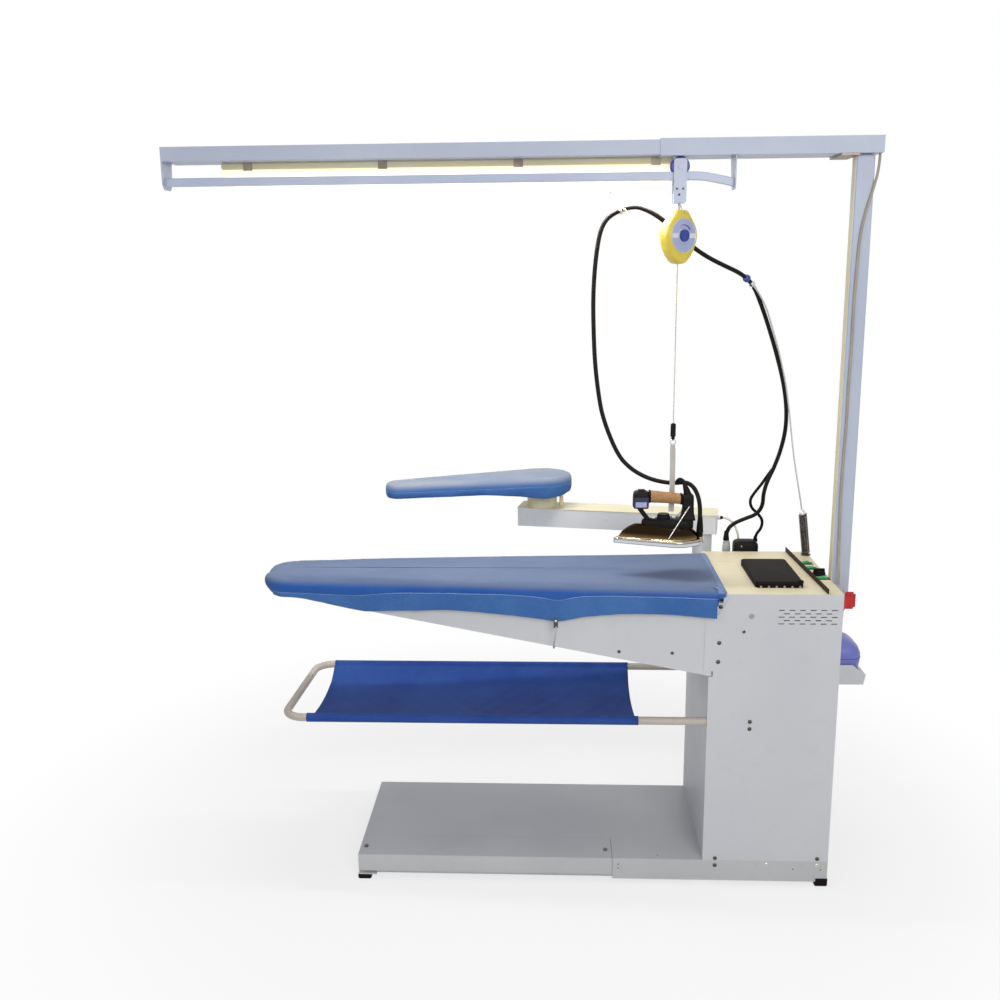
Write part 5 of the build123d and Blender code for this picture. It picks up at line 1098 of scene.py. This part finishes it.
cloth_rows = []
for column in range(cloth_columns + 1):
    share = column / cloth_columns
    x = cloth_left + (cloth_right - cloth_left) * share
    line = []
    for y, z in cloth_section(x):
        across = (y - rail_front) / (rail_rear - rail_front)
        pull = 5 * sin(pi * min(max(across, 0), 1))
        drift = pull * (np.exp(-(x - cloth_left) / 90) - np.exp(-(cloth_right - x) / 90))
        line.append((x + drift, y, z))
    cloth_rows.append(line)
catch_cloth = piece("catch_cloth", "stand", tray_cotton, *cloth_grid(cloth_rows))
thicken(catch_cloth, 0.0011)
stand_in(catch_cloth, "cloth_blue", "tray_cloth")
section_path = [Vector((0, y, z)) for y, z in cloth_section(300)]
run_of(section_path)
for name, line in (("cloth_hem_left", cloth_rows[0]), ("cloth_hem_right", cloth_rows[-1])):
    wire(name, "stand", tray_cotton, line, 1.3, 8)
for name, line in (("cloth_stitches_left", cloth_rows[2][12:62]),
                   ("cloth_stitches_right", cloth_rows[cloth_columns - 2][12:62]),
                   ("cloth_stitches_front", [row[17] for row in cloth_rows]),
                   ("cloth_stitches_rear", [row[56] for row in cloth_rows])):
    sew(name, "stand", tray_cotton, [(x, y, z + 0.8) for x, y, z in line])


# ---------------------------------------------------------------- hose support
def place_at(path, share):
    """Point and direction at a share of a path's length."""
    steps = [0.0]
    for a, b in zip(path, path[1:]):
        steps.append(steps[-1] + (b - a).length)
    k = min(max(int(np.searchsorted(steps, share * steps[-1])), 1), len(path) - 1)
    part = (share * steps[-1] - steps[k - 1]) / (steps[k] - steps[k - 1])
    return path[k - 1].lerp(path[k], part), (path[k] - path[k - 1]).normalized()


def ring_path(centre, axis, radius, count=40, flat=1.0):
    """Points of a ring square to the axis; flat squeezes it one way."""
    _, side, up = square_to(axis)
    return [Vector(centre) + side * cos(turn) * radius + up * sin(turn) * radius * flat for turn in turns(count)]


spring_foot, spring_top = Vector((1322, 402, 866)), Vector((1306, 400, 988))
spring_way, spring_side, spring_up = square_to(spring_top - spring_foot)
spring_turns, spring_steps, spring_radius, spring_wire = 22, 18, 10.6, 2.1
coil = []
for k in range(spring_turns * spring_steps + 1):
    turn_at = 2 * pi * k / spring_steps
    coil.append(spring_foot.lerp(spring_top, k / (spring_turns * spring_steps))
                + (spring_side * cos(turn_at) + spring_up * sin(turn_at)) * spring_radius)
support_spring = wire("support_spring", "stand", dark_steel, coil, spring_wire, 8)
stand_in(support_spring, "steel", "hose_support")
support_path = [(1306, 400, 988), (1292, 402, 1061), (1273, 403, 1155), (1260, 401, 1240), (1249, 396, 1310),
                (1234.8, 383, 1378), (1209, 362, 1464), (1178, 338, 1549), (1147, 312, 1622),
                (1112.7, 293.1, 1662.7)]
wire("support_rod", "stand", bright_steel, smooth_line([tuple(spring_foot.lerp(spring_top, 0.1))] + support_path),
     2.4, 12)
spun("support_foot", "stand", dark_steel, (1322, 402, 859.8), (0, 0, 1),
     [(0, 14), (3.4, 14), (4.4, 13), (4.6, 9), (9, 8.4), (9.6, 7)], 40)
spun("support_plug", "stand", bright_steel, spring_top - spring_way * 7, spring_way,
     [(0, 8), (1, 9.4), (11, 9.4), (13, 7.5), (19, 5.5), (20, 3)], 32)
ring_spot, ring_way = place_at(main_path, 0.6570)
ball_spot, ball_way = place_at(main_path, 0.6770)
wire("hose_ring", "stand", bright_steel,
     ring_path(ring_spot, ring_way + Vector((0.15, 0, -0.2)), 9.6, 40, 0.86), 1.5, 10, closed=True)
spun("rod_eye", "stand", bright_steel, Vector(support_path[-1]) - Vector((3, 2, -3)), Vector((-0.6, -0.35, 0.7)),
     [(-6, 2.6), (-5, 3.6), (5, 3.6), (6, 2.6)], 20)
spun("hose_ball", "stand", blue_moulding, ball_spot, ball_way, [
    (-8.6, 6.2), (-8.2, 7.4), (-6, 9.4), (-3, 10.7), (0, 11.1), (3, 10.7), (6, 9.4), (8.2, 7.4), (8.6, 6.2)], 40)
tie_spot, tie_way = place_at(main_path, 0.994)
wire("tie_loop", "stand", cream_lead, ring_path(tie_spot, tie_way, 7.3, 32), 1.3, 8, closed=True)
wire("tie_tail", "stand", cream_lead,
     smooth_line([tie_spot + Vector(step) for step in ((1, 5, 6), (4, -5, 4), (8, -9, -6), (10, -8, -15))]),
     1.1, 8)
boxes("tie_head", "stand", cream_lead, [((-3.5, 3.5), (-2.5, 2.5), (-3, 3))], 0.8,
      Matrix.Translation(tie_spot + Vector((-1, 5, 8))))


# ---------------------------------------------------------------- lamp, beam and trolley
rail_middle, trolley_x = 135, 883


def facing(way, where, spots):
    """Spots on a plane square to x or y, each two numbers, with the way that they all face."""
    along_x = way[0] != 0
    return [((where, a, b) if along_x else (a, where, b), way) for a, b in spots]


strap_places = []
for x in (-262, 97, 454, 812):
    strap_places += [((x, x + 24), (159.4, 161.2), (1974, 1996)), ((x, x + 24), (222.8, 224.6), (1974, 1996)),
                     ((x, x + 24), (159.4, 224.6), (1994.6, 1996))]
boxes("lamp_straps", "stand", strap_metal, strap_places, 0.5)
lamp_case = boxes("lamp_case", "stand", lamp_paint, [((-322, 868), (161, 223), (1977, 1995))], 3)
stand_in(lamp_case, "lamp_cream", "lamp_housing")


def lamp_ring(left, right, half, z, corner_radius=9):
    """The lamp cover's outline at a height, as a long rectangle with round corners."""
    circles = [(x, 192 + side * (half - corner_radius), corner_radius)
               for x in (left + corner_radius, right - corner_radius) for side in (-1, 1)]
    return [(x, y, z) for x, y in outline(circles, 220)[0]]


lamp_cover = piece("lamp_cover", "stand", diffuser_glow, *skin([lamp_ring(*level) for level in [
    (-322, 860, 26, 1978), (-327, 865, 30, 1973), (-325, 863, 30, 1968), (-316, 857, 29.5, 1955),
    (-311, 852, 29, 1945), (-307, 849, 28.4, 1936), (-299, 843, 27, 1926), (-290, 836, 25, 1919),
    (-279, 827, 21, 1914), (-266, 816, 15, 1911.6)]]))
stand_in(lamp_cover, "diffuser", "lamp_diffuser")

# the rail bends down to its end plate on the right
rail_line = [(-460, 1944), (-300, 1944), (0, 1944), (400, 1944), (800, 1944), (903, 1943.7), (927, 1943.4),
             (950.6, 1941.5), (971, 1937.6), (998, 1932), (1021, 1926.3)]
rail_rings = []
for x, z in rail_line:
    circles = [(y, z + step, 2.4) for y in (126.9, 143.1) for step in (-8.1, 8.1)]
    rail_rings.append([(x, y, height) for y, height in outline(circles, 48)[0]])
rail_tube = piece("rail_tube", "stand", rail_paint, *skin(rail_rings))
smooth_flats(rail_tube, 30)
stand_in(rail_tube, "gantry_grey", "tool_rail")

# the column is a flat tube under the beam's right end, with a plate where they meet
column_tube = boxes("column_tube", "stand", gantry_paint, [((1328, 1376), (124, 160), (815, 1990))], 3)
stand_in(column_tube, "gantry_grey", "gantry_column")
# painted light: a thin cream sheet on the column's left face stands in for the lamp's warm light on that side
boxes("column_face", "stand", lid_paint, [((1327, 1328.3), (126.5, 157.5), (864, 1986))], 0.3)
# painted shade: the plate under the beam is given the brownish strap metal for the shade it lies in
boxes("column_plate", "stand", strap_metal, [((1284, 1330), (101, 222), (1986, 1992.4))], 1)
screws("rail_plate_screws", "stand", bright_steel,
       facing((-1, 0, 0), -463, [(118, 2010), (150, 2010), (135, 1944)])
       + facing((1, 0, 0), 1024, [(125, 1975), (148, 1975), (135, 1924)]), 4, 2)
plate_spots = [(875, 1911), (891, 1911), (881, 1896.6)]
screws("plate_screws", "trolley", dark_steel,
       facing((0, -1, 0), rail_middle - 17, plate_spots) + facing((0, 1, 0), rail_middle + 17, plate_spots), 3, 1.8)
for name, y in (("front", 124.6), ("rear", 143)):
    spun(f"wheel_flange_{name}", "wheel", blue_moulding, (trolley_x, y, 1967.6), (0, 1, 0),
         [(0, 2), (0, 23.6), (0.4, 24.4), (2, 24.4), (2.4, 23.6), (2.4, 2)], 64)


def grip(name, body, finish, centre, axis, radius, low, high, ribs, depth):
    """A ribbed rim round a knob."""
    axis, side, up = square_to(axis)
    rings = [[Vector(centre) + axis * along
              + (side * cos(turn) + up * sin(turn)) * (radius - shrink + depth * cos(turn * ribs))
              for turn in turns(ribs * 8)]
             for along, shrink in ((low, 1.6), (low, 0.2), (low + 0.6, 0), (high - 1, 0), (high, 0.6), (high, 1.8))]
    return piece(name, body, finish, *skin(rings))


balancer_turn = radians(38)
balancer_middle = 1794


def on_balancer(u, v, w):
    """Across, up and out from the middle of the balancer's face, to a place on the machine."""
    return Vector((trolley_x + u * cos(balancer_turn) + w * sin(balancer_turn),
                   rail_middle + u * sin(balancer_turn) - w * cos(balancer_turn), balancer_middle + v))


face_way = Vector((sin(balancer_turn), -cos(balancer_turn), 0))
case_circles = [(0, 0, 53), (-9, 50, 15), (9, 50, 15), (0, -14, 48), (0, -28, 40), (0, -42, 30), (-5, -57, 14),
                (5, -57, 14)]
case_rings = []
for w, inset in [(-20.6, 16), (-20, 8), (-18, 3.4), (-14, 0.8), (-9, 0), (10, 0), (15, 0.8), (18.6, 3), (20.2, 6),
                 (20.4, 12)]:
    shrunk = [(u, v, max(radius - inset, 0.5)) for u, v, radius in case_circles]
    case_rings.append([on_balancer(u, v, w) for u, v in outline(shrunk, 160)[0]])
balancer_shell = piece("balancer_shell", "balancer", yellow_moulding, *skin(case_rings))
stand_in(balancer_shell, "yellow_case", "balancer_case")
spun("balancer_label", "balancer", label_blue, on_balancer(0, 0, 20.1), face_way,
     [(0, 0.1), (0, 42.8), (0.8, 42.8), (0.9, 42.2), (0.9, 0.1)], 72)
label_ring = ring_path(on_balancer(0, 0, 20.7), face_way, 43.2, 72)
wire("balancer_label_ring", "balancer", bright_steel, label_ring, 0.9, 8, True)
knob_ring = ring_path(on_balancer(0, 0, 20.8), face_way, 18.6, 56)
wire("balancer_knob_ring", "balancer", bright_steel, knob_ring, 0.7, 8, True)
arc = [on_balancer(27 * cos(radians(turn_at)), 27 * sin(radians(turn_at)), 21.1)
       for turn_at in range(35, 121, 5)]
tapered_rod("balancer_scale_arc", "balancer", ink_blue, arc, lambda share: 0.5 + 1.1 * (1 - share), 10)
face_matrix = Matrix.Translation(on_balancer(0, 0, 20.7)) @ Matrix((
    (cos(balancer_turn), 0, sin(balancer_turn), 0), (sin(balancer_turn), 0, -cos(balancer_turn), 0),
    (0, 1, 0, 0), (0, 0, 0, 1)))
boxes("balancer_label_bars", "balancer", label_pale,
      [(across, (-6, 6), (0.1, 0.6)) for across in ((-41, -20), (20, 41))], 0.1, face_matrix)
grip("balancer_grip", "brake_knob", blue_moulding, on_balancer(0, 0, 20.6), face_way, 14.6, 0, 6.4, 20, 0.5)
wire("balancer_hook", "balancer", bright_steel,
     [on_balancer(*spot) for spot in smooth_line([(-15, 50, 0), (-13, 60, 0), (-7, 74, 0), (0, 88, 0), (7, 74, 0),
                                                  (13, 60, 0), (15, 50, 0)])], 1.9, 12)
screws("balancer_screws", "balancer", dark_steel,
       [(tuple(on_balancer(u, v, 19)), tuple(face_way)) for u, v in ((0, -60), (0, 57))], 2.8, 1.4)
cable_foot, cable_top = 1301, 1726
cable_line = [(trolley_x, rail_middle, cable_foot + (cable_top - cable_foot) * k / 40) for k in range(41)]
cable = wire("balancer_wire", None, cable_cover, cable_line, 1.4, 10)
stand_in(cable, "steel", "balancer_cable")
at(trolley_x, rail_middle, 1722)
at(trolley_x, rail_middle, 1303)
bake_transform(cable)

# clip and strap that carry the iron
clip_parts = [((876, 890), (131.2, 138.8), (1262, 1301)), ((878, 888), (132, 138), (1254, 1264))]
sling_clip = boxes("sling_clip", "iron", black_moulding, clip_parts, 2.4)
stand_in(sling_clip, "black_plastic", "iron_sling")
wire("sling_ring", "iron", bright_steel,
     ring_path((trolley_x, rail_middle, 1250), (0, 1, 0), 7.2, 36), 1.7, 10, True)
strap_rows = []
strap_foot, strap_top, strap_steps = 1056, 1243, 32
for k in range(strap_steps + 1):
    share = k / strap_steps
    z = strap_foot + (strap_top - strap_foot) * share
    lean = radians(14 * sin(pi * share))
    half = 7.4 - 1.6 * max(0, (share - 0.93) / 0.07)
    sway = 1.2 * sin(pi * share)
    ring = []
    for a, b in ((-1, -1), (0, -1.25), (1, -1), (1, 1), (0, 1.25), (-1, 1)):
        u, v = a * half, b * 1.1
        ring.append((trolley_x + u * cos(lean) - v * sin(lean) + sway,
                     rail_middle + u * sin(lean) + v * cos(lean), z))
    strap_rows.append(ring)
strap = piece("sling_strap", "iron", strap_moulding, *skin(strap_rows))
smooth_flats(strap, 50)


# ---------------------------------------------------------------- iron
iron_middle = 114


def iron_circles(inset):
    """Circles of the iron's outline, pulled in."""
    return [(731 + inset * 1.3, iron_middle, 7), (896, iron_middle, 62 - inset),
            (925 - inset * 0.6, iron_middle, 46 - inset * 0.6)]


def iron_skin(profile, count=180):
    """Points and faces through the iron's outline at each (inset, height)."""
    return skin([[(x, y, z) for x, y in outline(iron_circles(inset), count)[0]] for inset, z in profile])


iron_shell = piece("iron_shell", "iron", shell_with_painted_reflection, *iron_skin([
    (8, 982.8), (1, 983.5), (0.5, 985), (1.5, 987.5), (6, 989.5), (10, 991), (12, 994), (15, 1000), (19, 1007),
    (25, 1014), (31, 1019.5), (38, 1024), (44, 1027.5)]))
stand_in(iron_shell, "chrome", "iron_cover")
rim_path = [(x, y, 984.6) for x, y in outline(iron_circles(2.2), 180)[0]]
wire("iron_rim_bead", "iron", bright_steel, rim_path, 0.8, 10, closed=True)
base_rings = []
for inset, z in [(1, 1016), (0, 1017), (0, 1032), (1.2, 1036.4), (3.4, 1039.8), (6.4, 1041.4)]:
    circles = [(x, iron_middle, radius - inset) for x, radius in ((808, 8), (880, 30), (915, 27))]
    base_rings.append([(x, y, z) for x, y in outline(circles, 140)[0]])
iron_base = piece("iron_base", "iron", black_moulding, *skin(base_rings))
stand_in(iron_base, "black_plastic", "iron_body")


def soft_ring(centre_x, centre_y, half_x, half_y, z, square, count):
    """A rounded rectangle at height z."""
    ring = []
    for turn_at in turns(count):
        c, s = cos(turn_at), sin(turn_at)
        ring.append((centre_x + half_x * (abs(c) ** square) * (1 if c > 0 else -1),
                     centre_y + half_y * (abs(s) ** square) * (1 if s > 0 else -1), z))
    return ring


def soft_stack(name, body, finish, y, levels, count=48):
    """A piece through rounded rectangles, each (middle x, half x, half y, z, how square)."""
    return piece(name, body, finish, *skin([soft_ring(x, y, *rest, count) for x, *rest in levels]))


def iron_curve(*spots):
    """A smooth line in the iron's middle plane through (x, z) spots."""
    return smooth_line([(x, iron_middle, z) for x, z in spots])


soft_stack("iron_post", "iron", black_moulding, iron_middle, [
    (925, 21, 20, 1039, 0.42), (925, 20.4, 19, 1044, 0.42), (925.5, 17, 15.5, 1056, 0.42),
    (926, 15.4, 14, 1074, 0.42), (925, 16.2, 14.6, 1090, 0.42), (924.5, 16.4, 14.8, 1102, 0.42),
    (924.5, 15.4, 13.6, 1107, 0.42), (924.5, 12.6, 11, 1109, 0.42)])
horn_line = iron_curve((926, 1104), (921, 1120), (915, 1136), (911, 1149))
tapered_rod("iron_horn", "iron", black_moulding, horn_line, lambda share: 11 - 7.6 * share, 16)
hook_line = smooth_line([(911, 115, 1148), (906, 121, 1150), (901, 131, 1147), (897, 139, 1140), (896, 146, 1133)])
tapered_rod("iron_hose_hook", "iron", black_moulding, hook_line, lambda share: 3.4 + 1.2 * sin(pi * share), 12)
hook_spot, hook_way = place_at(lower_path, 0.552)
wire("iron_hose_clip", "iron", black_moulding, ring_path(hook_spot, hook_way, 7.6, 30), 1.9, 10, closed=True)
soft_stack("switch_block", "iron", black_moulding, iron_middle, [
    (797.5, 15, 15, 1071, 0.5), (797.5, 19.6, 20, 1072, 0.4), (797.5, 21.4, 22, 1075, 0.34),
    (797.5, 21.4, 22, 1096, 0.34), (797.5, 21, 20.5, 1108, 0.36), (798, 19.6, 18.4, 1115, 0.42),
    (798.5, 16, 15, 1118, 0.5)])
boxes("switch_band", "iron", ink_dark, [((778, 817), (91.4, 92.8), (1074, 1103))], 0.3)
boxes("switch_plate", "iron", label_blue, [((782, 812), (90.7, 91.8), (1077, 1091))], 0.3)
strut_line = iron_curve((792, 1074), (800, 1062), (810, 1048), (820, 1036))
tapered_rod("iron_strut", "iron", black_moulding, strut_line, lambda share: 6.6, 16)
for name, x, z, radius in (("handle_front_collar", 819.5, 1103, 18.3), ("handle_rear_collar", 905, 1096.4, 16)):
    spun(name, "iron", black_moulding, (x, iron_middle, z), (1, 0, 0), [
        (-1, radius - 2), (-0.6, radius - 0.4), (0.2, radius), (3.2, radius), (4, radius - 0.5),
        (4.2, radius - 2)], 48)
for name, side in (("front", -1), ("rear", 1)):
    low, high = Vector((869, iron_middle + side * 54, 996)), Vector((928, iron_middle + side * 15.6, 1078))
    wire(f"iron_bail_{name}", "iron", bright_steel, [low, low.lerp(high, 0.5), high], 1.3, 10)
spun("iron_gland", "iron", brass, (959, 106, 983), (0, 0, 1), [(0, 9), (7, 9), (8, 7.6), (12, 7.6)], 6)
spun("iron_gland_nut", "iron", black_moulding, (959, 106, 993), (0, 0, 1), [
    (0, 7.6), (2, 8.4), (10, 8.4), (11, 9.4), (20, 9.4), (21.5, 8)], 32)
for name, x in (("left", 833), ("right", 888)):
    grip(f"iron_nut_{name}", "iron", bright_steel, (x, 112, 1041), (0, 0, 1), 4.6, 0, 6, 14, 0.35)
grip("iron_dial_grip", "iron_thermostat", black_moulding, (860, 112, 1041), (0, 0, 1), 17.6, 0, 9, 26, 0.5)
grip("thermostat_grip", "thermostat", black_moulding, (1309, 186, 861), (0, 0, 1), 16.9, 0, 8, 24, 0.5)


# ---------------------------------------------------------------- cabinet details
bezel_sides = [((-19, -16), (-11, 11)), ((16, 19), (-11, 11)), ((-19, 19), (-11, -8.8)), ((-19, 19), (8.8, 11))]
bezels = [((x + left, x + right), (y + front, y + back), (860.1, 861.6))
          for x, y in ((1300, 305), (1302, 252), (1309, 150)) for (left, right), (front, back) in bezel_sides]
boxes("rocker_bezels", "stand", black_moulding, bezels, 0.5)
tick_points = []
for k in range(11):
    turn_at = radians(-135 + 27 * k)
    way = Vector((sin(turn_at), cos(turn_at), 0))
    tick_points += [Vector((1309, 186, 860.3)) + way * reach for reach in (20.4, 23.4 if k % 5 else 25)]
round_wire.make("thermostat_ticks", "stand", ink_blue, tick_points, [(k, k + 1) for k in range(0, 22, 2)],
                Radius=0.00045, Sides=6)
pad_rings = []
for inset, z in [(0, 860.2), (0, 872), (1, 875), (3, 876.6), (7, 877)]:
    circles = [(x, y, 10 - min(inset, 8)) for x in (1118 + max(inset - 8, 0), 1228) for y in (70, 290)]
    pad_rings.append([(x, y, z) for x, y in outline(circles, 120)[0]])
rest_pad = piece("rest_pad", "stand", black_rubber, *skin(pad_rings))
stand_in(rest_pad, "rubber", "iron_rest")
boxes("rest_ribs", "stand", grey_moulding,
      [((x, x + 5), (57.6, 62), (860.2, 866)) for x in (1120, 1141, 1162, 1183, 1204, 1225)], 0.8)
boxes("rest_lip", "stand", black_rubber, [((1222, 1237), (61, 66), (872, 881))], 1.5)
strip_way = Vector((1289.3 - 1270.4, 3 - 440, 0)).normalized()
strip_turn = (Matrix.Translation(Vector((1270.4, 440, 860)))
              @ Matrix.Rotation(atan2(strip_way.y, strip_way.x), 4, "Z"))
boxes("divider_strip", "stand", brown_rubber, [((0, 437), (-1.6, 1.6), (0, 14.6))], 0.8, strip_turn)
soft_stack("steam_plug", "stand", grey_moulding, 463, [
    (1093.5, half, half * 0.94, z, 0.7)
    for half, z in [(12, 800), (12, 866), (11.4, 874), (10, 884), (7.6, 890), (7, 893)]], 40)
plug_box = soft_stack("plug_box", "stand", black_moulding, 467, [
    (1152, half_x, half_y, z, 0.34) for half_x, half_y, z in [
        (36, 26, 800), (37, 27, 803), (37, 27, 874), (36, 26, 881), (32, 23, 886.6), (24, 17, 890), (12, 8, 891)]])
stand_in(plug_box, "grey_plastic", "rear_connectors")
spun("plug_dot", "stand", label_pale, (1136, 439.6, 876), (0, -1, 0), [(-1, 2), (0.5, 2), (0.8, 1.5)], 20)
switch_disc = spun("switch_disc", "isolator", red_moulding, (1338.4, 66, 824), (1, 0, 0), [
    (0, 29), (0, 30), (6, 30), (7.6, 28.6), (8.4, 26), (10, 22)], 64)
stand_in(switch_disc, "red_plastic", "isolator_knob")
boxes("switch_lever", "isolator", red_moulding, [((1346, 1379), (58.5, 73.5), (800, 848))], 6)
switch_base = boxes("switch_base", "stand", grey_moulding, [((1329.8, 1338), (24, 108), (789, 859))], 1)
stand_in(switch_base, "red_plastic", "isolator_box")
tank_body = soft_stack("tank_body", "stand", tank_moulding, 308, [(*level, 0.5) for level in [
    (1396, 56, 62, 518), (1396, 60, 68, 522), (1397, 63, 72, 560), (1398, 65.4, 74, 578), (1398, 66, 75, 590),
    (1398, 65.4, 74, 602), (1396, 61, 70, 618), (1393, 52, 62, 629), (1390, 41, 50, 636), (1388, 26, 32, 640)]], 56)
stand_in(tank_body, "tank_blue", "water_tank")
spun("tank_neck", "stand", black_rubber, (1388, 308, 636), (-0.06, 0, 1), [
    (0, 24), (6, 24), (8, 20), (14, 18), (16, 13), (30, 11), (44, 8.6), (46, 6.6), (60, 5.6)], 40)
wire("tank_seam", "stand", ink_blue, soft_ring(1398, 308, 66.2, 75.2, 590, 0.5, 56), 0.7, 8, closed=True)

# cover strip, cheek plate and small fittings on the cabinet's front
boxes("trough_strip", "stand", sheet_white, [((966, 996), (-0.12, 0.3), (642, 826))], 0.05)
cheek = [(1025.7, 844.6), (993.1, 792.6), (1071.3, 755.1)]
piece("cheek_plate", "stand", sheet_white, *skin([[(x, y, z) for x, z in cheek] for y in (-1.8, -0.2)]), False)
spun("cabinet_plug", "stand", grey_moulding, (1089, 0.2, 799), (0, -1, 0),
     [(0, 6.5), (2, 6.5), (3, 5.6), (3.2, 3)], 32)
front_way, front_plane = (0, -1, 0), -0.2
screws("cabinet_screws", "stand", dark_steel, facing(front_way, front_plane, [
    (1096, 475), (1096, 496), (1006, 825), (1004, 669), (1005, 723), (1300, 85), (1015, 61), (1015, 83)]), 5.6, 3.2)
screws("bright_screws", "stand", chrome, facing(front_way, front_plane, [(1159, 67), (1300, 66)]), 5.6, 3.2)
# painted shade: low black domes stand in for the dark inside of small holes
screws("tiny_holes", "stand", black_rubber, facing(front_way, front_plane, [
    (743.5, 59), (743.5, 47), (1234, 52), (1311, 51)]) + [((856, 20, 77.1), (0, 0, 1))], 1.8, 0.5)

# spring clips that hold the board cover down at its middle
clip_places = []
for y, step in ((0, -1), (342, 1)):
    low, high = sorted((y + step * 0.3, y + step * 2.6))
    clip_places.append(((559, 571), (low, high), (763, 790)))
clip_brackets = boxes("clip_brackets", "stand", dark_steel, clip_places, 0.8)
stand_in(clip_brackets, "chrome", "cover_clips")
for name, y, step in (("front", 0, -1), ("rear", 342, 1)):
    wire(f"clip_spring_{name}", "stand", zinc,
         [(566, y + step * 3.4, 768), (567, y + step * 4, 754), (559.5, y + step * 4, 714),
          (560, y - step * 1, 706), (562, y - step * 8, 708)], 2.3, 10)
    screws(f"clip_rivet_{name}", "stand", bright_steel, [((565, y + step * 2.6, 783), (0, step, 0))], 3.4, 2)

# rubber feet: caps wrap the base's front corners, the rest stand back under it
foot_places = [((1281, 1327), (392, 438), (0, 14.2)), ((3, 49), (392, 438), (0, 14.2)),
               ((957, 1003), (392, 438), (0, 14.2)), ((1296, 1332), (-2, 46), (0, 26)),
               ((-2, 36), (-2, 46), (0, 15))]
foot_caps = boxes("foot_caps", "stand", black_rubber, foot_places, 2.5)
stand_in(foot_caps, "rubber", "rubber_feet")
screws("junction_screws", "stand", bright_steel,
       facing((0, 1, 0), 495, [(x, z) for x in (1125, 1184) for z in (807, 867)]), 3.2, 1.8)
screws("bracket_screws", "stand", bright_steel,
       facing((0, 1, 0), 446, [(x, z) for x in (1000, 1060) for z in (540, 680)]), 5, 3)


# ---------------------------------------------------------------- floor, backdrop and lamps
def floor_finish():
    """Pale floor that keeps the shadow near the machine and runs out to the backdrop's white."""
    ground = Finish("floor")
    where = ground.place()
    x, y = ground.part(where, 0), ground.part(where, 1)
    reach = (x * x + y * y).power(0.5)
    tree = ground.tree
    white = ground.node("ShaderNodeEmission", {}, {"Color": (1.0, 1.0, 1.0), "Strength": 1.0}).outputs[0]
    ground.dress(Base_Color=(0.86, 0.86, 0.86), Roughness=0.95, Specular_IOR_Level=0.0)
    light_path = ground.node("ShaderNodeLightPath", {}, {}).outputs
    seen = Value(ground, light_path["Is Camera Ray"])
    for ray in ("Is Glossy Ray", "Is Transmission Ray"):
        seen = seen.higher(light_path[ray])
    far = (reach.ease(0.8, 1.9) * 0.28 + 0.72) * seen
    mixed = tree.nodes.new("ShaderNodeMixShader")
    tree.links.new(far.socket, mixed.inputs[0])
    tree.links.new(ground.shader.outputs[0], mixed.inputs[1])
    tree.links.new(white, mixed.inputs[2])
    output = next(node for node in tree.nodes if node.type == "OUTPUT_MATERIAL")
    tree.links.new(mixed.outputs[0], output.inputs[0])
    return ground.material


ground_mesh = bpy.data.meshes.new("ground")
ground_mesh.from_pydata([(-30, -30, 0), (30, -30, 0), (30, 30, 0), (-30, 30, 0)], [], [(0, 1, 2, 3)])
ground_mesh.materials.append(floor_finish())
ground = bpy.data.objects.new("ground", ground_mesh)
bpy.context.scene.collection.objects.link(ground)

world = bpy.data.worlds.new("studio")
bpy.context.scene.world = world
world.use_nodes = True
sky = world.node_tree
backdrop = sky.nodes["Background"]
backdrop.inputs[0].default_value = (1, 1, 1, 1)
paths = sky.nodes.new("ShaderNodeLightPath").outputs
shown = paths["Is Camera Ray"]
for ray in ("Is Transmission Ray", "Is Glossy Ray"):
    either = sky.nodes.new("ShaderNodeMath")
    either.operation = "MAXIMUM"
    sky.links.new(shown, either.inputs[0])
    sky.links.new(paths[ray], either.inputs[1])
    shown = either.outputs[0]
level = sky.nodes.new("ShaderNodeMapRange")
sky.links.new(shown, level.inputs["Value"])
level.inputs["To Min"].default_value = 0.36
level.inputs["To Max"].default_value = 1.0
sky.links.new(level.outputs[0], backdrop.inputs[1])


def soft_box(name, place, aim, size, power, tint=(1, 1, 1)):
    """A large square lamp at a place on the machine, facing another."""
    data = bpy.data.lights.new(name, "AREA")
    data.shape = "RECTANGLE"
    data.size, data.size_y = size
    data.energy = power
    data.color = tint
    lamp = bpy.data.objects.new(name, data)
    lamp.location = at(*place)
    if place[:2] != aim[:2]:             # a lamp that looks straight down stays unturned
        lamp.rotation_euler = (at(*aim) - at(*place)).to_track_quat("-Z", "Y").to_euler()
    lamp.visible_camera = False
    bpy.context.scene.collection.objects.link(lamp)


soft_box("key", (1500, -3300, 2500), (500, 200, 900), (1.8, 1.8), 58)
soft_box("fill", (-1800, -2700, 1500), (300, 200, 900), (1.6, 1.6), 9)
soft_box("top", (500, 300, 3600), (500, 300, 800), (2.4, 1.6), 20)
soft_box("rear", (500, 3000, 2400), (500, 200, 1000), (2.4, 1.6), 9)
soft_box("tube", (268, 192, 1905), (268, 192, 800), (1.16, 0.05), 9, (1.0, 0.97, 0.9))
